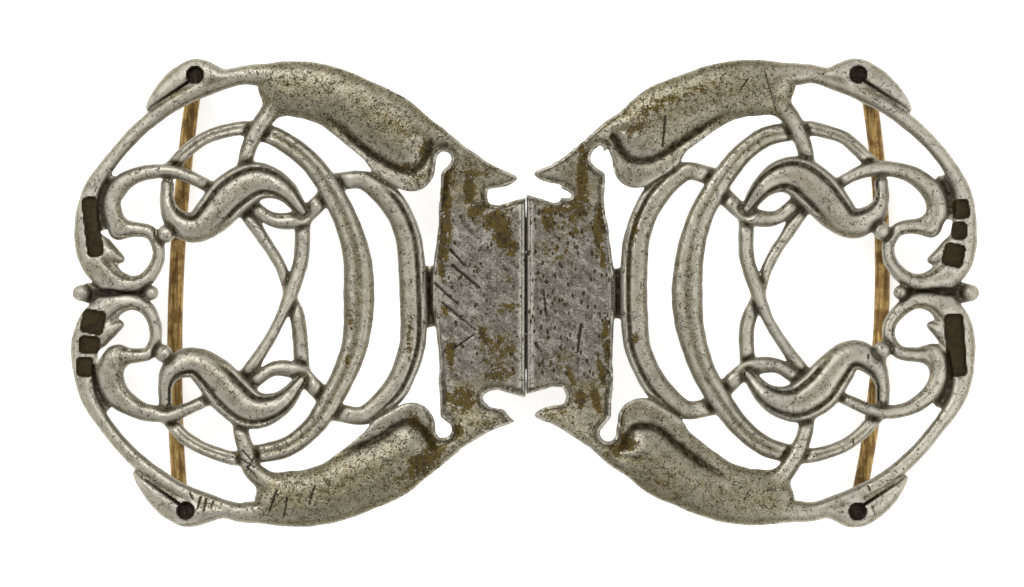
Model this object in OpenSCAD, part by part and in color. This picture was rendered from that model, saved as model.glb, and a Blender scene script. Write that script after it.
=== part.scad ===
// Clasp buckle of two cast openwork halves meeting at a centre seam.
// It lies on its back: X runs across the waist, Y up, Z towards the wearer's front.
// The origin is on the floor below the middle of the seam. Lengths are millimetres.

/* [Overall] */
// width over the two outer pellets
total_w = 100.6; // [94:0.2:106]
// radius of the waist that the buckle is curved to
waist_r = 180; // [150:5:400]
// height of the frame's underside above the floor at the seam
frame_rise = 10.7; // [10.6:0.05:12]
// multiplier on the height of all cast relief
relief = 1; // [0.85:0.05:1.2]
// clear gap between the two halves at the seam
seam_gap = 0.3; // [0.2:0.05:0.6]

/* [Bird heads] */
// diameter of the drilled eye
eye_d = 1.86; // [1.4:0.02:2.2]
// depth of the drilled eye below the top of the head
eye_deep = 1.7; // [0.8:0.1:1.9]
// widest part of the slit that parts the beak
slit_w = 0.5; // [0.3:0.05:0.7]
// depth of the slit
slit_deep = 1.3; // [0.5:0.1:1.6]

/* [Plates] */
// thickness of the two flat plates beside the seam
plate_t = 1.5; // [1.2:0.1:2]
// radius of the round end of the keyhole opening
keyhole_r = 0.9; // [0.7:0.05:1.1]
// depth of the blank sunken panels on the outer rim
panel_deep = 0.4; // [0.2:0.05:0.6]

/* [Belt bars] */
// diameter of the belt bars
bar_d = 1.7; // [1.4:0.05:1.8]
// outward bow of the left belt bar
left_bow = 1.3; // [0.3:0.1:1.8]
// outward bow of the right belt bar
right_bow = 2.2; // [0.3:0.1:2.6]
// diameter of the lugs that hold the bars
lug_d = 2.9; // [2.7:0.1:3.2]
// clearance around a bar in its lugs
bar_play = 0.15; // [0.1:0.01:0.2]

/* [Clasp] */
// breadth of the hook strap along the seam
hook_w = 9; // [6:0.5:12]
// thickness of the hook strap
hook_t = 1.1; // [0.8:0.1:1.3]
// gap between the hook strap and the plates it lies behind
hook_gap = 0.3; // [0.2:0.05:0.4]

/* [Hidden] */
nominal_w = 100.6;
plan = total_w / nominal_w;
silver = [0.70, 0.67, 0.61];
gilt_brass = [0.62, 0.47, 0.24];
steps_fine = 2;
steps_plain = 1;

// Strand tables: [across from the seam, up from the middle, half width].
// They describe the upper left quarter; the others are its mirror images, eased by "eases".
neck = [
  [29.8, 24.05, 1.15], [34.6, 23.2, 1.00], [37.4, 22.0, 0.92], [40.0, 20.45, 0.86], [43.2, 17.6, 0.78],
  [45.8, 14.6, 0.76], [47.75, 11.85, 0.90], [48.6, 9.5, 1.10], [48.7, 7.2, 1.35]
];
curl = [
  [48.7, 7.2, 1.35], [48.5, 5.3, 1.50], [47.8, 3.4, 1.55], [46.6, 2.1, 1.50], [45.3, 1.25, 1.20],
  [43.6, 1.0, 0.85], [42.0, 1.65, 0.78], [40.9, 3.3, 0.68], [40.75, 5.1, 0.65], [41.6, 6.65, 0.72],
  [43.1, 7.1, 0.85], [45.4, 6.8, 1.00]
];
arch = [
  [34.8, 11.7, 0.65], [36.7, 12.65, 0.72], [38.3, 13.3, 0.74], [40.0, 13.5, 0.78], [41.6, 13.4, 0.80],
  [43.3, 12.95, 0.88], [45.0, 11.95, 1.00], [46.0, 10.1, 1.02], [45.9, 8.5, 1.06], [45.4, 6.75, 0.90]
];
ring = [
  [39.3, 13.9, 0.72], [37.4, 15.9, 0.70], [35.0, 17.4, 0.68], [31.7, 18.2, 0.75], [29.2, 17.8, 0.95],
  [26.6, 16.65, 1.06], [24.0, 14.6, 1.10], [22.0, 12.0, 1.20], [20.3, 8.9, 1.30], [19.2, 6.0, 1.40],
  [18.6, 3.2, 1.55], [18.5, 0, 1.66]
];
crescent = [
  [20.9, 12.3, 0.95], [18.6, 12.55, 0.95], [17.0, 12.0, 1.15], [15.0, 10.2, 1.36], [13.75, 8.2, 1.36],
  [12.95, 5.8, 1.40], [12.65, 3.0, 1.44], [12.5, 0, 1.44]
];
stem = [[27.4, 21.9, 1.30], [29.2, 19.4, 1.10], [30.3, 17.3, 0.98], [30.9, 15.4, 0.92], [31.2, 13.4, 0.90]];
scroll = [
  [24.7, 9.0, 0.60], [26.6, 11.3, 1.20], [28.6, 12.3, 1.75], [30.5, 12.2, 2.20], [32.7, 10.8, 2.38],
  [34.4, 8.95, 2.15], [36.1, 7.45, 1.70], [37.65, 7.35, 1.55], [39.15, 8.5, 1.12], [39.75, 10.2, 0.75],
  [39.7, 12.9, 0.72]
];
loop = [
  [22.2, 10.7, 0.90], [23.7, 9.2, 0.88], [25.0, 8.3, 0.90], [26.6, 7.95, 0.86], [28.1, 8.15, 0.75],
  [29.35, 8.95, 0.68], [30.7, 10.1, 0.62]
];
brace_out = [[31.2, 9.3, 0.85], [29.2, 6.2, 0.62], [28.0, 4.4, 0.59], [27.0, 2.55, 0.58], [26.2, 0, 0.58]];
brace_in = [[24.7, 8.0, 0.80], [24.75, 5.65, 0.80], [24.85, 4.0, 0.80], [25.25, 2.3, 0.78], [26.0, 0, 0.74]];
body = [
  [31.2, 23.95, 1.12], [29.0, 23.6, 1.90], [26.9, 22.55, 3.00], [23.9, 22.4, 3.12], [21.1, 21.5, 3.30],
  [18.3, 19.9, 3.66], [15.5, 18.1, 4.05], [13.4, 16.35, 3.95]
];
lobe = [[14.6, 15.8, 3.30], [12.7, 13.85, 2.60]];
bridge = [[12.6, 17.6, 2.40], [10.2, 17.15, 1.45], [8.25, 16.1, 0.90]];
tail = [[8.8, 16.3, 0.95], [7.0, 14.4, 1.40], [5.1, 13.2, 1.35], [3.1, 12.65, 0.88], [1.25, 12.6, 0.32]];
head = [
  [33.6, 23.85, 0.85], [36.2, 24.25, 1.62], [38.0, 23.75, 1.48], [39.65, 22.75, 1.12], [40.9, 21.6, 0.72],
  [41.9, 20.5, 0.24]
];
spur = [[47.2, 4.45, 1.00], [44.8, 3.8, 0.25]];
rim_web = [[47.2, 12.4, 0.50], [47.2, 9.7, 0.60], [46.7, 6.8, 0.60]];
foot_web = [[48.4, 0, 1.10], [45.8, 0, 0.75], [41.5, 0, 0.50]];
tab_web = [[49.0, 2.1, 0.60], [49.0, -2.1, 0.60]];
shoulder = [[6.85, 13.6, 2.60], [6.85, 9.0, 2.65]];

// Small cast pellets: [across, up, radius].
outer_pellet = [49.4, 0, 0.85];
inner_pellet = [41.5, 0, 0.70];
side_pellet = [40.15, 6.5, 0.82];
lobe_tip = [12.7, 13.85, 2.55];

// Plate outline: [across from the seam, half length].
plate_rows = [
  [0, 10.55], [1.5, 10.15], [3.0, 9.7], [4.8, 9.9], [9.5, 9.0], [9.85, 5.9], [10.2, 3.6], [10.4, 1.5]
];

// Easing of the other three quarters towards how each was finished by hand:
// [across, up, lower left shift x2, upper right shift x2, lower right shift x2].
eases = [
  [36.6, 24.2, 1.40, -0.15, 0.20, 0.00, 0.10, 0.00],
  [41.8, 20.5, 1.50, -0.55, 0.65, -0.15, 0.20, 0.00],
  [34.0, 23.3, 0.00, 0.30, 0.00, 0.25, 0.00, 0.20],
  [45.5, 15.4, 0.45, 0.15, 0.30, 0.20, -0.20, -0.10],
  [47.8, 11.3, 0.40, 0.00, 0.20, 0.00, -0.30, 0.00],
  [48.7, 6.0, 0.20, 0.00, -0.10, 0.00, -0.30, 0.00],
  [45.8, 4.3, 0.00, -0.50, 0.10, -0.40, 0.00, -0.20],
  [40.8, 4.2, 0.40, 0.00, -0.70, 0.20, -0.65, 0.00],
  [44.5, 1.2, 0.00, 0.00, 0.00, 0.40, 0.00, -0.30],
  [42.8, 7.1, 0.10, -0.10, -0.30, 0.45, -0.20, -0.30],
  [45.9, 9.3, -0.20, 0.00, -1.00, 0.00, -0.60, 0.00],
  [42.5, 13.2, 0.00, -0.10, -0.10, 0.25, -0.10, -0.55],
  [35.0, 11.8, 0.20, 0.20, -0.60, 0.50, 0.00, -0.10],
  [38.8, 14.6, 0.40, 0.20, -0.90, 0.10, -0.30, -0.45],
  [33.9, 17.8, 0.00, 0.10, 0.00, -0.15, 0.00, -0.45],
  [30.9, 15.4, 0.80, 0.20, 0.05, 0.20, 0.00, 0.00],
  [29.0, 20.5, 1.40, 0.00, -0.30, 0.00, -0.20, 0.00],
  [37.2, 7.2, 0.20, 0.55, -0.80, 0.55, -0.60, -0.50],
  [34.8, 9.3, 0.00, 0.30, -0.30, 0.40, -0.50, -0.10],
  [39.7, 10.2, 0.25, 0.10, -0.25, 0.20, -0.25, 0.00],
  [29.2, 12.3, 0.30, 0.70, -0.30, 0.75, -0.10, -0.20],
  [26.6, 8.0, 0.00, 0.50, -0.20, 0.35, 0.00, 0.00],
  [22.6, 10.4, 0.40, 1.00, -0.40, 0.30, -0.30, 0.00],
  [29.0, 6.0, -0.10, 0.00, -0.55, 0.00, -0.40, 0.00],
  [24.8, 4.5, 0.30, 0.00, -0.45, 0.00, -0.45, 0.00],
  [26.1, 0.0, 0.00, 0.00, -0.35, 0.00, -0.35, 0.00],
  [25.4, 15.8, -0.20, 0.50, -0.30, 0.65, -0.20, 0.35],
  [20.3, 9.0, -0.20, 0.10, -0.80, 0.20, -0.60, 0.10],
  [18.5, 0.0, 0.00, 0.00, -0.70, 0.00, -0.70, 0.00],
  [18.6, 12.5, 0.00, 1.20, -0.40, 1.10, -0.30, 0.50],
  [14.8, 10.0, -0.30, 0.80, -0.60, 0.80, -0.40, 0.40],
  [12.9, 5.5, -0.40, 0.00, -0.80, 0.00, -0.75, 0.00],
  [12.5, 0.0, 0.00, 0.00, -0.60, 0.00, -0.60, 0.00],
  [26.5, 22.8, 0.00, 0.20, 0.00, 0.10, 0.00, 0.00],
  [21.0, 21.5, 0.00, 0.45, 0.00, 0.50, 0.00, 0.25],
  [16.0, 18.5, 0.10, 0.80, -0.30, 0.85, 0.00, 0.50],
  [12.8, 14.0, 0.00, 1.00, -0.40, 0.40, 0.10, 0.40],
  [9.6, 17.0, 0.10, 0.90, -0.40, 0.80, 0.00, 0.90],
  [6.5, 14.2, 0.00, 0.90, 0.00, 0.70, 0.00, 0.80],
  [2.5, 12.6, 0.00, 1.30, -0.10, 0.60, 0.00, 0.90],
  [3.0, 10.6, 0.00, 1.00, 0.10, 0.20, 0.00, 0.60],
  [9.2, 14.6, -0.10, 0.50, -0.90, 0.10, 0.00, 0.50],
  [9.5, 8.0, 0.00, 0.00, -0.60, 0.00, 0.00, 0.00],
  [49.4, 0.0, 0.00, 0.00, 0.00, 0.00, 0.00, 0.00],
  [41.5, 0.0, 0.00, 0.00, 0.00, 0.00, 0.00, 0.00]
];
ease_reach = 1.8;
ease_floor = 0.05;
swell = 0.06;

// Blank sunken panels: [side, upper or lower, across, up, width, length, turn].
panels = [
  [-1, 1, 48.05, 7.35, 1.75, 6.6, -7],
  [-1, -1, 48.0, 3.2, 2.6, 2.6, -12],
  [-1, -1, 48.4, 5.75, 2.3, 1.9, -5],
  [-1, -1, 48.9, 8.2, 1.9, 2.1, 0],
  [1, 1, 48.2, 9.3, 1.9, 2.1, 6],
  [1, 1, 48.0, 6.9, 1.7, 1.9, 0],
  [1, 1, 47.4, 4.2, 2.3, 2.5, -12],
  [1, -1, 47.6, 5.8, 2.1, 6.9, -4]
];

// Cross-section of a strand: [side as part of the half width, height as part of the relief].
round_section = [[-0.98, 0], [0.98, 0], [0.86, 0.72], [0, 1], [-0.86, 0.72]];
flat_section = [[-1, 0], [1, 0], [0.85, 1], [-0.85, 1]];
ring_section = [[-1, 0], [1, 0], [0.84, 1], [0.46, 0.74], [-0.46, 0.74], [-0.84, 1]];
scroll_section = [
  [-1, 0], [1, 0], [0.9, 0.8], [0.7, 0.58], [0.42, 0.88], [0, 1], [-0.42, 0.88], [-0.7, 0.58], [-0.9, 0.8]
];
crescent_section = [
  [-0.94, 0], [0.94, 0], [1, 0.5], [0.72, 0.85], [0.15, 1], [-0.42, 0.82], [-0.6, 0.56], [-0.76, 0.88],
  [-1, 0.78]
];
body_section = [
  [-0.96, 0], [0.96, 0], [1, 0.6], [0.88, 0.7], [0.78, 0.5], [0.4, 0.86], [-0.15, 1], [-0.68, 0.82],
  [-1, 0.42]
];

// Height of the frame's underside at a place across the buckle.
function underside(x) = frame_rise - x * x / (2 * waist_r);

// First of the two shift columns of a quarter in the table of eases, or 0 for the plain one.
function ease_column(side, upper) = side < 0 ? (upper > 0 ? 0 : 2) : (upper > 0 ? 4 : 6);

function ease_weight(p, e) =
  let (gap = [p[0] - e[0], p[1] - e[1]])
  exp(-(gap * gap) / (2 * ease_reach * ease_reach));

function total(values, i = 0) = i < len(values) ? values[i] + total(values, i + 1) : 0;

// A table row moved to where its quarter has it.
function eased(p, column) =
  let (
    weights = [for (e = eases) ease_weight(p, e)],
    sum = total(weights) + ease_floor,
    dx = total([for (i = [0:len(eases) - 1]) weights[i] * eases[i][column]]) / sum,
    dy = total([for (i = [0:len(eases) - 1]) weights[i] * eases[i][column + 1]]) / sum
  )
  [p[0] + dx, p[1] + dy, p[2]];

// A row widened by what the straight facets and the soft edges lose.
function swollen(p) = [p[0], p[1], p[2] + swell];

function quarter_rows(rows, side, upper) =
  let (column = ease_column(side, upper))
  [for (row = rows) swollen(column == 0 ? row : eased(row, column))];

// One path for a whole half: an upper quarter's rows, then a lower quarter's from the middle outwards.
function whole_rows(top, bottom, side) =
  let (
    above = quarter_rows(top, side, 1),
    below = quarter_rows(bottom, side, -1)
  )
  concat(above, [for (i = [len(below) - 2:-1:0]) [below[i][0], -below[i][1], below[i][2]]]);

// Smooth curve through a table's rows, with a number of steps between neighbours.
function curve_at(a, b, c, d, t) =
  0.5 * (2 * b + t * (c - a) + t * t * (2 * a - 5 * b + 4 * c - d) + t * t * t * (3 * b - a - 3 * c + d));

function smooth(rows, steps) =
  let (
    last = len(rows) - 1,
    ends = concat([2 * rows[0] - rows[1]], rows, [2 * rows[last] - rows[last - 1]])
  )
  concat(
    [for (i = [0:last - 1], k = [0:steps - 1]) curve_at(ends[i], ends[i + 1], ends[i + 2], ends[i + 3], k / steps)],
    [rows[last]]
  );

// Unit vector to the left of travel at each place of a path.
function left_of(path, i) =
  let (
    a = path[max(0, i - 1)],
    b = path[min(len(path) - 1, i + 1)],
    run = [b[0] - a[0], b[1] - a[1]]
  )
  [-run[1], run[0]] / norm(run);

// Points of one cross-section, placed on the curved frame of the chosen quarter.
function station(path, i, section, foot, crown, side, upper) =
  let (
    c = path[i],
    n = left_of(path, i)
  )
  [for (s = section)
    let (
      across = plan * (c[0] + n[0] * s[0] * c[2]),
      up = plan * (c[1] + n[1] * s[0] * c[2])
    )
    [side * across, upper * up, underside(across) + relief * (foot + s[1] * (crown - foot))]];

// Convex cover of any points.
module cover(points) {
  hull()
    polyhedron(points = points, faces = [[for (i = [0:len(points) - 1]) i]]);
}

// Strand of any section, hollows included, as one closed skin along a path of stations.
module strand(path, section, foot, crown, side, upper) {
  count = len(section);
  stations = len(path);
  mirrored = side * upper > 0;
  points = [for (i = [0:stations - 1]) each station(path, i, section, foot, crown, side, upper)];
  skin = [for (i = [0:stations - 2], k = [0:count - 1])
    let (
      a = i * count + k,
      b = i * count + (k + 1) % count
    )
    each [[a, b, b + count], [a, b + count, a + count]]];
  start = [for (k = [0:count - 1]) count - 1 - k];
  finish = [for (k = [0:count - 1]) (stations - 1) * count + k];
  faces = concat(skin, [start, finish]);
  polyhedron(
    points = points,
    faces = mirrored ? [for (face = faces) [for (k = [len(face) - 1:-1:0]) face[k]]] : faces
  );
}

// Domed pellet with an upright wall.
module pellet(place, foot, crown, side, upper) {
  count = 8;
  levels = [[foot, 1], [0.6 * crown, 1], [crown, 0.45]];
  cover([for (level = levels, k = [0:count - 1])
    let (
      across = plan * (place[0] + place[2] * level[1] * cos(360 * k / count)),
      up = plan * (place[1] + place[2] * level[1] * sin(360 * k / count))
    )
    [side * across, upper * up, underside(plan * place[0]) + relief * level[0]]]);
}

// Outer rim: bird's neck running into the curl, with the arch that springs from it.
module rim_strands(side, upper) {
  rows_neck = smooth(quarter_rows(neck, side, upper), steps_plain);
  rows_curl = smooth(quarter_rows(curl, side, upper), steps_fine);
  rows_arch = smooth(quarter_rows(arch, side, upper), steps_plain);
  strand(rows_neck, round_section, 0.10, 2.30, side, upper);
  strand(rows_curl, round_section, 0.10, 2.25, side, upper);
  strand(rows_arch, round_section, 0.20, 2.45, side, upper);
  strand(quarter_rows(spur, side, upper), round_section, 0.30, 1.50, side, upper);
  strand(quarter_rows(rim_web, side, upper), flat_section, 0.40, 1.20, side, upper);
  pellet(quarter_rows([side_pellet], side, upper)[0], 0.15, 2.35, side, upper);
}

// Low metal between the two curls and behind the outer pellet.
module middle_webs(side) {
  strand(foot_web, flat_section, 0.50, 1.15, side, 1);
  strand(tab_web, flat_section, 0.60, 1.30, side, 1);
}

// S-shaped scroll with a raised border on each edge and a ridge along its middle.
module scroll_strand(side, upper) {
  path = smooth(quarter_rows(scroll, side, upper), steps_fine);
  strand(path, scroll_section, 0.05, 2.90, side, upper);
}

// Half ring with a hollow between two raised edges.
module ring_strand(side) {
  strand(smooth(whole_rows(ring, ring, side), steps_plain), ring_section, 0.15, 2.00, side, 1);
}

// Crescent band: a broad rounded swell and a narrow lip with a hollow between.
module crescent_strand(side) {
  path = smooth(whole_rows(crescent, crescent, side), steps_plain);
  strand(path, crescent_section, 0.25, 2.30, side, 1);
}

// Bird's body with its lip, rounded lobe, tail and the stem that is its leg.
module bird_body(side, upper) {
  path = smooth(quarter_rows(body, side, upper), steps_fine);
  strand(path, body_section, 0.20, 2.80, side, upper);
  strand(quarter_rows(lobe, side, upper), round_section, 0.30, 2.50, side, upper);
  pellet(quarter_rows([lobe_tip], side, upper)[0], 0.35, 2.30, side, upper);
  strand(quarter_rows(bridge, side, upper), round_section, 0.10, 2.55, side, upper);
  strand(smooth(quarter_rows(tail, side, upper), steps_plain), round_section, 0.25, 2.15, side, upper);
  strand(smooth(quarter_rows(stem, side, upper), steps_plain), round_section, 0.30, 2.30, side, upper);
  strand(smooth(quarter_rows(head, side, upper), steps_plain), round_section, 0.25, 2.60, side, upper);
}

// Loop below the scroll, from the ring to the scroll's back.
module loop_strand(side, upper) {
  strand(quarter_rows(loop, side, upper), round_section, 0.10, 1.85, side, upper);
}

// Two braces that cross at the middle, one over the other.
module crossed_braces(side) {
  strand(whole_rows(brace_out, brace_in, side), round_section, 0.35, 1.55, side, 1);
  strand(whole_rows(brace_in, brace_out, side), round_section, 0.28, 1.95, side, 1);
}

// Flat plate beside the seam, its lip, its shoulders and the tab that holds the crescent.
module seam_plate(side) {
  edge = seam_gap / 2;
  lip_w = 0.4;
  lip_h = 0.25;
  lip_l = 9.9;
  tab_from = 9.6;
  tab_to = 11.6;
  tab_half = 3.7;
  for (i = [0:len(plate_rows) - 2])
    cover([for (row = [plate_rows[i], plate_rows[i + 1]], end = [-1, 1], z = [0, plate_t])
      let (
        eased_row = quarter_rows([[row[0], row[1], 0]], side, end)[0],
        across = max(edge, plan * (row[1] < 10 ? eased_row[0] : row[0]))
      )
      [side * across, end * plan * eased_row[1], underside(across) + z]]);
  cover([for (across = [edge, edge + lip_w], end = [-1, 1], z = [0.4, plate_t + lip_h])
    [side * across, end * plan * lip_l, underside(across) + z]]);
  cover([for (across = [plan * tab_from, plan * tab_to], end = [-1, 1], z = [0.35, 1.3])
    [side * across, end * plan * tab_half, underside(across) + z]]);
  for (upper = [-1, 1])
    strand(quarter_rows(shoulder, side, upper), flat_section, 0.10, plate_t + 0.1, side, upper);
}

// Distances of the lugs from the seam: left upper, left lower, right upper, right lower.
lug_across = [36.8, 38.4, 37.9, 36.85];
lug_up = 23.2;

// Centre of the lug behind a bird's head.
function lug_place(side, upper) =
  let (index = (side < 0 ? 0 : 2) + (upper > 0 ? 0 : 1))
  [side * plan * lug_across[index], upper * plan * lug_up];

lug_foot = 0;
bar_z = 1.25;
bar_end = 0.9;

// Post that carries one end of a belt bar.
module lug(side, upper) {
  at = lug_place(side, upper);
  translate([at[0], at[1], lug_foot])
    cylinder(h = underside(at[0]) + 1.1, d = lug_d, $fn = 12);
}

// Bar path: a flat arc through both lugs, bowed away from the seam.
function bar_middle(side) = (lug_place(side, 1) + lug_place(side, -1)) / 2;
function bar_half(side) = norm(lug_place(side, 1) - lug_place(side, -1)) / 2;
function bar_lean(side) =
  let (run = lug_place(side, 1) - lug_place(side, -1))
  atan2(run[1], run[0]);
function bar_radius(side, bow) = (bar_half(side) * bar_half(side) + bow * bow) / (2 * bow);

module bar_arc(side, bow, thick, extra, facets) {
  r = bar_radius(side, bow);
  reach = asin((bar_half(side) + extra) / r);
  at = bar_middle(side);
  turn = side < 0 ? bar_lean(side) + 90 : bar_lean(side) - 90;
  translate([at[0], at[1], bar_z])
    rotate([0, 0, turn])
      translate([bow - r, 0, 0])
        rotate([0, 0, -reach])
          rotate_extrude(angle = 2 * reach, $fn = 120)
            translate([r, 0])
              circle(d = thick, $fn = facets);
}

// Drilled eye and the slit of the beak.
module head_cuts(side, upper) {
  top = 2.60;
  eye = quarter_rows([[36.65, 24.15, 1]], side, upper)[0];
  corner = quarter_rows([[37.3, 23.45, 1]], side, upper)[0];
  tip = quarter_rows([[41.6, 20.62, 1]], side, upper)[0];
  translate([side * plan * eye[0], upper * plan * eye[1], underside(plan * eye[0]) + relief * top - eye_deep])
    cylinder(h = 4, d = eye_d, $fn = 20);
  hull() {
    translate([side * plan * corner[0], upper * plan * corner[1], underside(plan * corner[0]) + relief * top - slit_deep])
      cylinder(h = 3, d = slit_w, $fn = 8);
    translate([side * plan * tip[0], upper * plan * tip[1], underside(plan * tip[0]) + relief * top - slit_deep])
      cylinder(h = 3, d = slit_w / 2, $fn = 8);
  }
}

// Keyhole between lobe and shoulder, and the rounded end of the slot under the tail.
module plate_cuts(side) {
  keyhole = [[9.05, 14.9, keyhole_r], [9.7, 13.3, 0.40], [9.95, 11.2, 0.45], [10.6, 9.0, 0.55]];
  slot = [[3.85, 10.75, 0.60], [2.5, 10.85, 0.55], [0.4, 11.3, 0.72], [-1, 11.7, 0.8]];
  for (upper = [-1, 1], cut = [keyhole, slot])
    let (rows = quarter_rows(cut, side, upper))
      for (i = [0:len(rows) - 2])
        hull()
          for (p = [rows[i], rows[i + 1]])
            translate([side * plan * p[0], upper * plan * p[1], 0])
              cylinder(h = 30, r = plan * (p[2] - swell), $fn = 12);
}

// Blank panel sunk into the outer rim.
module panel_cut(panel) {
  across = plan * panel[2];
  floor_z = underside(across) + relief * 2.15 - panel_deep;
  tilt = atan(across / waist_r);
  translate([panel[0] * across, panel[1] * plan * panel[3], floor_z])
    rotate([0, panel[0] * tilt, panel[0] * panel[1] * panel[6]])
      translate([-panel[4] / 2, -panel[5] / 2, 0])
        cube([panel[4], panel[5], 2]);
}

// Pegs behind the left plate that hold the hook strap.
peg_places = [[-6.2, 2.8], [-6.2, -2.8]];
peg_d = 1.6;
peg_play = 0.15;
strap_from = -8.6;
strap_to = 6.6;
strap_top = underside(strap_from) - hook_gap;
strap_foot = strap_top - hook_t;

// Keeper behind the right plate: two feet and the bar that the hook catches on.
module keeper() {
  keeper_x = 3.2;
  keeper_w = 1.8;
  foot_w = 1.4;
  inner = hook_w / 2 + 0.5;
  drop = 2.1;
  for (end = [-1, 1])
    translate([keeper_x, end * (inner + foot_w / 2), strap_foot - drop])
      translate([0, -foot_w / 2, 0])
        cube([keeper_w, foot_w, frame_rise + 0.6 - strap_foot + drop]);
  translate([keeper_x, -inner - foot_w / 2, strap_foot - drop])
    cube([keeper_w, 2 * inner + foot_w, 1.4]);
}

// All that both halves share.
module half_frame(side) {
  difference() {
    union() {
      for (upper = [-1, 1]) {
        rim_strands(side, upper);
        scroll_strand(side, upper);
        bird_body(side, upper);
        loop_strand(side, upper);
        lug(side, upper);
      }
      ring_strand(side);
      crescent_strand(side);
      crossed_braces(side);
      middle_webs(side);
      seam_plate(side);
      pellet(outer_pellet, 0.20, 2.20, side, 1);
      pellet(inner_pellet, 0.20, 2.10, side, 1);
    }
    for (upper = [-1, 1])
      head_cuts(side, upper);
    plate_cuts(side);
    for (panel = panels)
      if (panel[0] == side)
        panel_cut(panel);
    bar_arc(side, side < 0 ? left_bow : right_bow, bar_d + 2 * bar_play, bar_end, 10);
  }
}

module left_frame() {
  color(silver)
    union() {
      half_frame(-1);
      for (at = peg_places)
        translate([at[0], at[1], strap_foot + 0.1])
          cylinder(h = frame_rise + 0.7 - strap_foot, d = peg_d, $fn = 16);
    }
}

module right_frame() {
  color(silver)
    union() {
      half_frame(1);
      keeper();
    }
}

module left_belt_bar() {
  color(gilt_brass)
    bar_arc(-1, left_bow, bar_d, bar_end - bar_play, 24);
}

module right_belt_bar() {
  color(gilt_brass)
    bar_arc(1, right_bow, bar_d, bar_end - bar_play, 24);
}

// Flat strap on the left plate's pegs, its end turned down behind the keeper.
module clasp_hook() {
  hook_back = 2.4;
  color(silver)
    difference() {
      union() {
        translate([strap_from, -hook_w / 2, strap_foot])
          cube([strap_to - strap_from, hook_w, hook_t]);
        translate([strap_to - hook_t, -hook_w / 2, strap_foot - hook_back - hook_t])
          cube([hook_t, hook_w, hook_back + 2 * hook_t]);
      }
      for (at = peg_places)
        translate([at[0], at[1], strap_foot - 1])
          cylinder(h = hook_t + 2, d = peg_d + 2 * peg_play);
    }
}

left_frame();
right_frame();
left_belt_bar();
right_belt_bar();
clasp_hook();
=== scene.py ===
"""Visual model of a clasp buckle: two cast openwork halves, their belt bars and the clasp hook.

Lengths in the tables are millimetres, as the part's source has them; meshes are put out in metres.
X runs across the waist, Y up, Z towards the wearer's front, and the buckle lies on its back.
"""

import logging
import math
from dataclasses import dataclass, field
from enum import Enum

import bpy
import numpy as np
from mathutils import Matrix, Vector

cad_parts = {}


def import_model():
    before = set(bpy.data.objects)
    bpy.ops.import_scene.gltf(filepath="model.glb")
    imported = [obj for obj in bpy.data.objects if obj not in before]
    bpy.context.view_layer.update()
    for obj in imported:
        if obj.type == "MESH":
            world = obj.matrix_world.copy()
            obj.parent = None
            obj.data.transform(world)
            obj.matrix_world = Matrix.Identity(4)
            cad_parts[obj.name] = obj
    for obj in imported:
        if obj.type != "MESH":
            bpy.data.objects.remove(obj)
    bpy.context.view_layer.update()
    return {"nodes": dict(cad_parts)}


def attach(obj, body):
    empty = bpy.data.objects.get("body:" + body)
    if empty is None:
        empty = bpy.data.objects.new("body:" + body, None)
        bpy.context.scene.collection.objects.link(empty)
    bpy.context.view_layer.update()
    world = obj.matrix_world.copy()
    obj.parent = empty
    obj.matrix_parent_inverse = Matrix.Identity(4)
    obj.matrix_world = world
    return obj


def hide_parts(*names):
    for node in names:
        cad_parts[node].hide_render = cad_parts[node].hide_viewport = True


LOG = logging.getLogger("buckle")
MM = 0.001

# Curve over the waist: its radius, and the height of the frame's underside at the seam.
WAIST_R = 180.0
FRAME_RISE = 10.7
# Spacing of the height fields, and grid cells along a joined face of the back.
GRID = 0.155
BLOCK = 4
# Distance or depth that stands for out of reach, and how far past its outline a strand is worked out.
FAR = 9.0
REACH = 1.4
# Width added to each side of a strand, fall of the metal past an outline, and height of the thinned back.
SWELL = 0.05
WALL_SLOPE = 2.4
FOOT = 0.14
# Half of the gap at the seam, and half the height of the plates beside it.
SEAM_EDGE = 0.045
PLATE_UP = 10.6
# Height of the lugs' axes above and below the middle.
LUG_UP = 23.2

Array = np.ndarray
Body = bpy.types.Object
Rows = list[list[float]]
Quarters = dict[tuple[int, int], Rows]
Pair = tuple[float, float]
Triple = tuple[float, float, float]


class Half(Enum):
    """Side of the seam that a half lies on; its value is the sign of X there."""

    LEFT = -1
    RIGHT = 1


class Edge(Enum):
    """Edge of a strand, seen along its path, that carries a rim or groove."""

    NONE = 0
    LEFT = 1
    RIGHT = -1
    BOTH = 2


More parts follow.
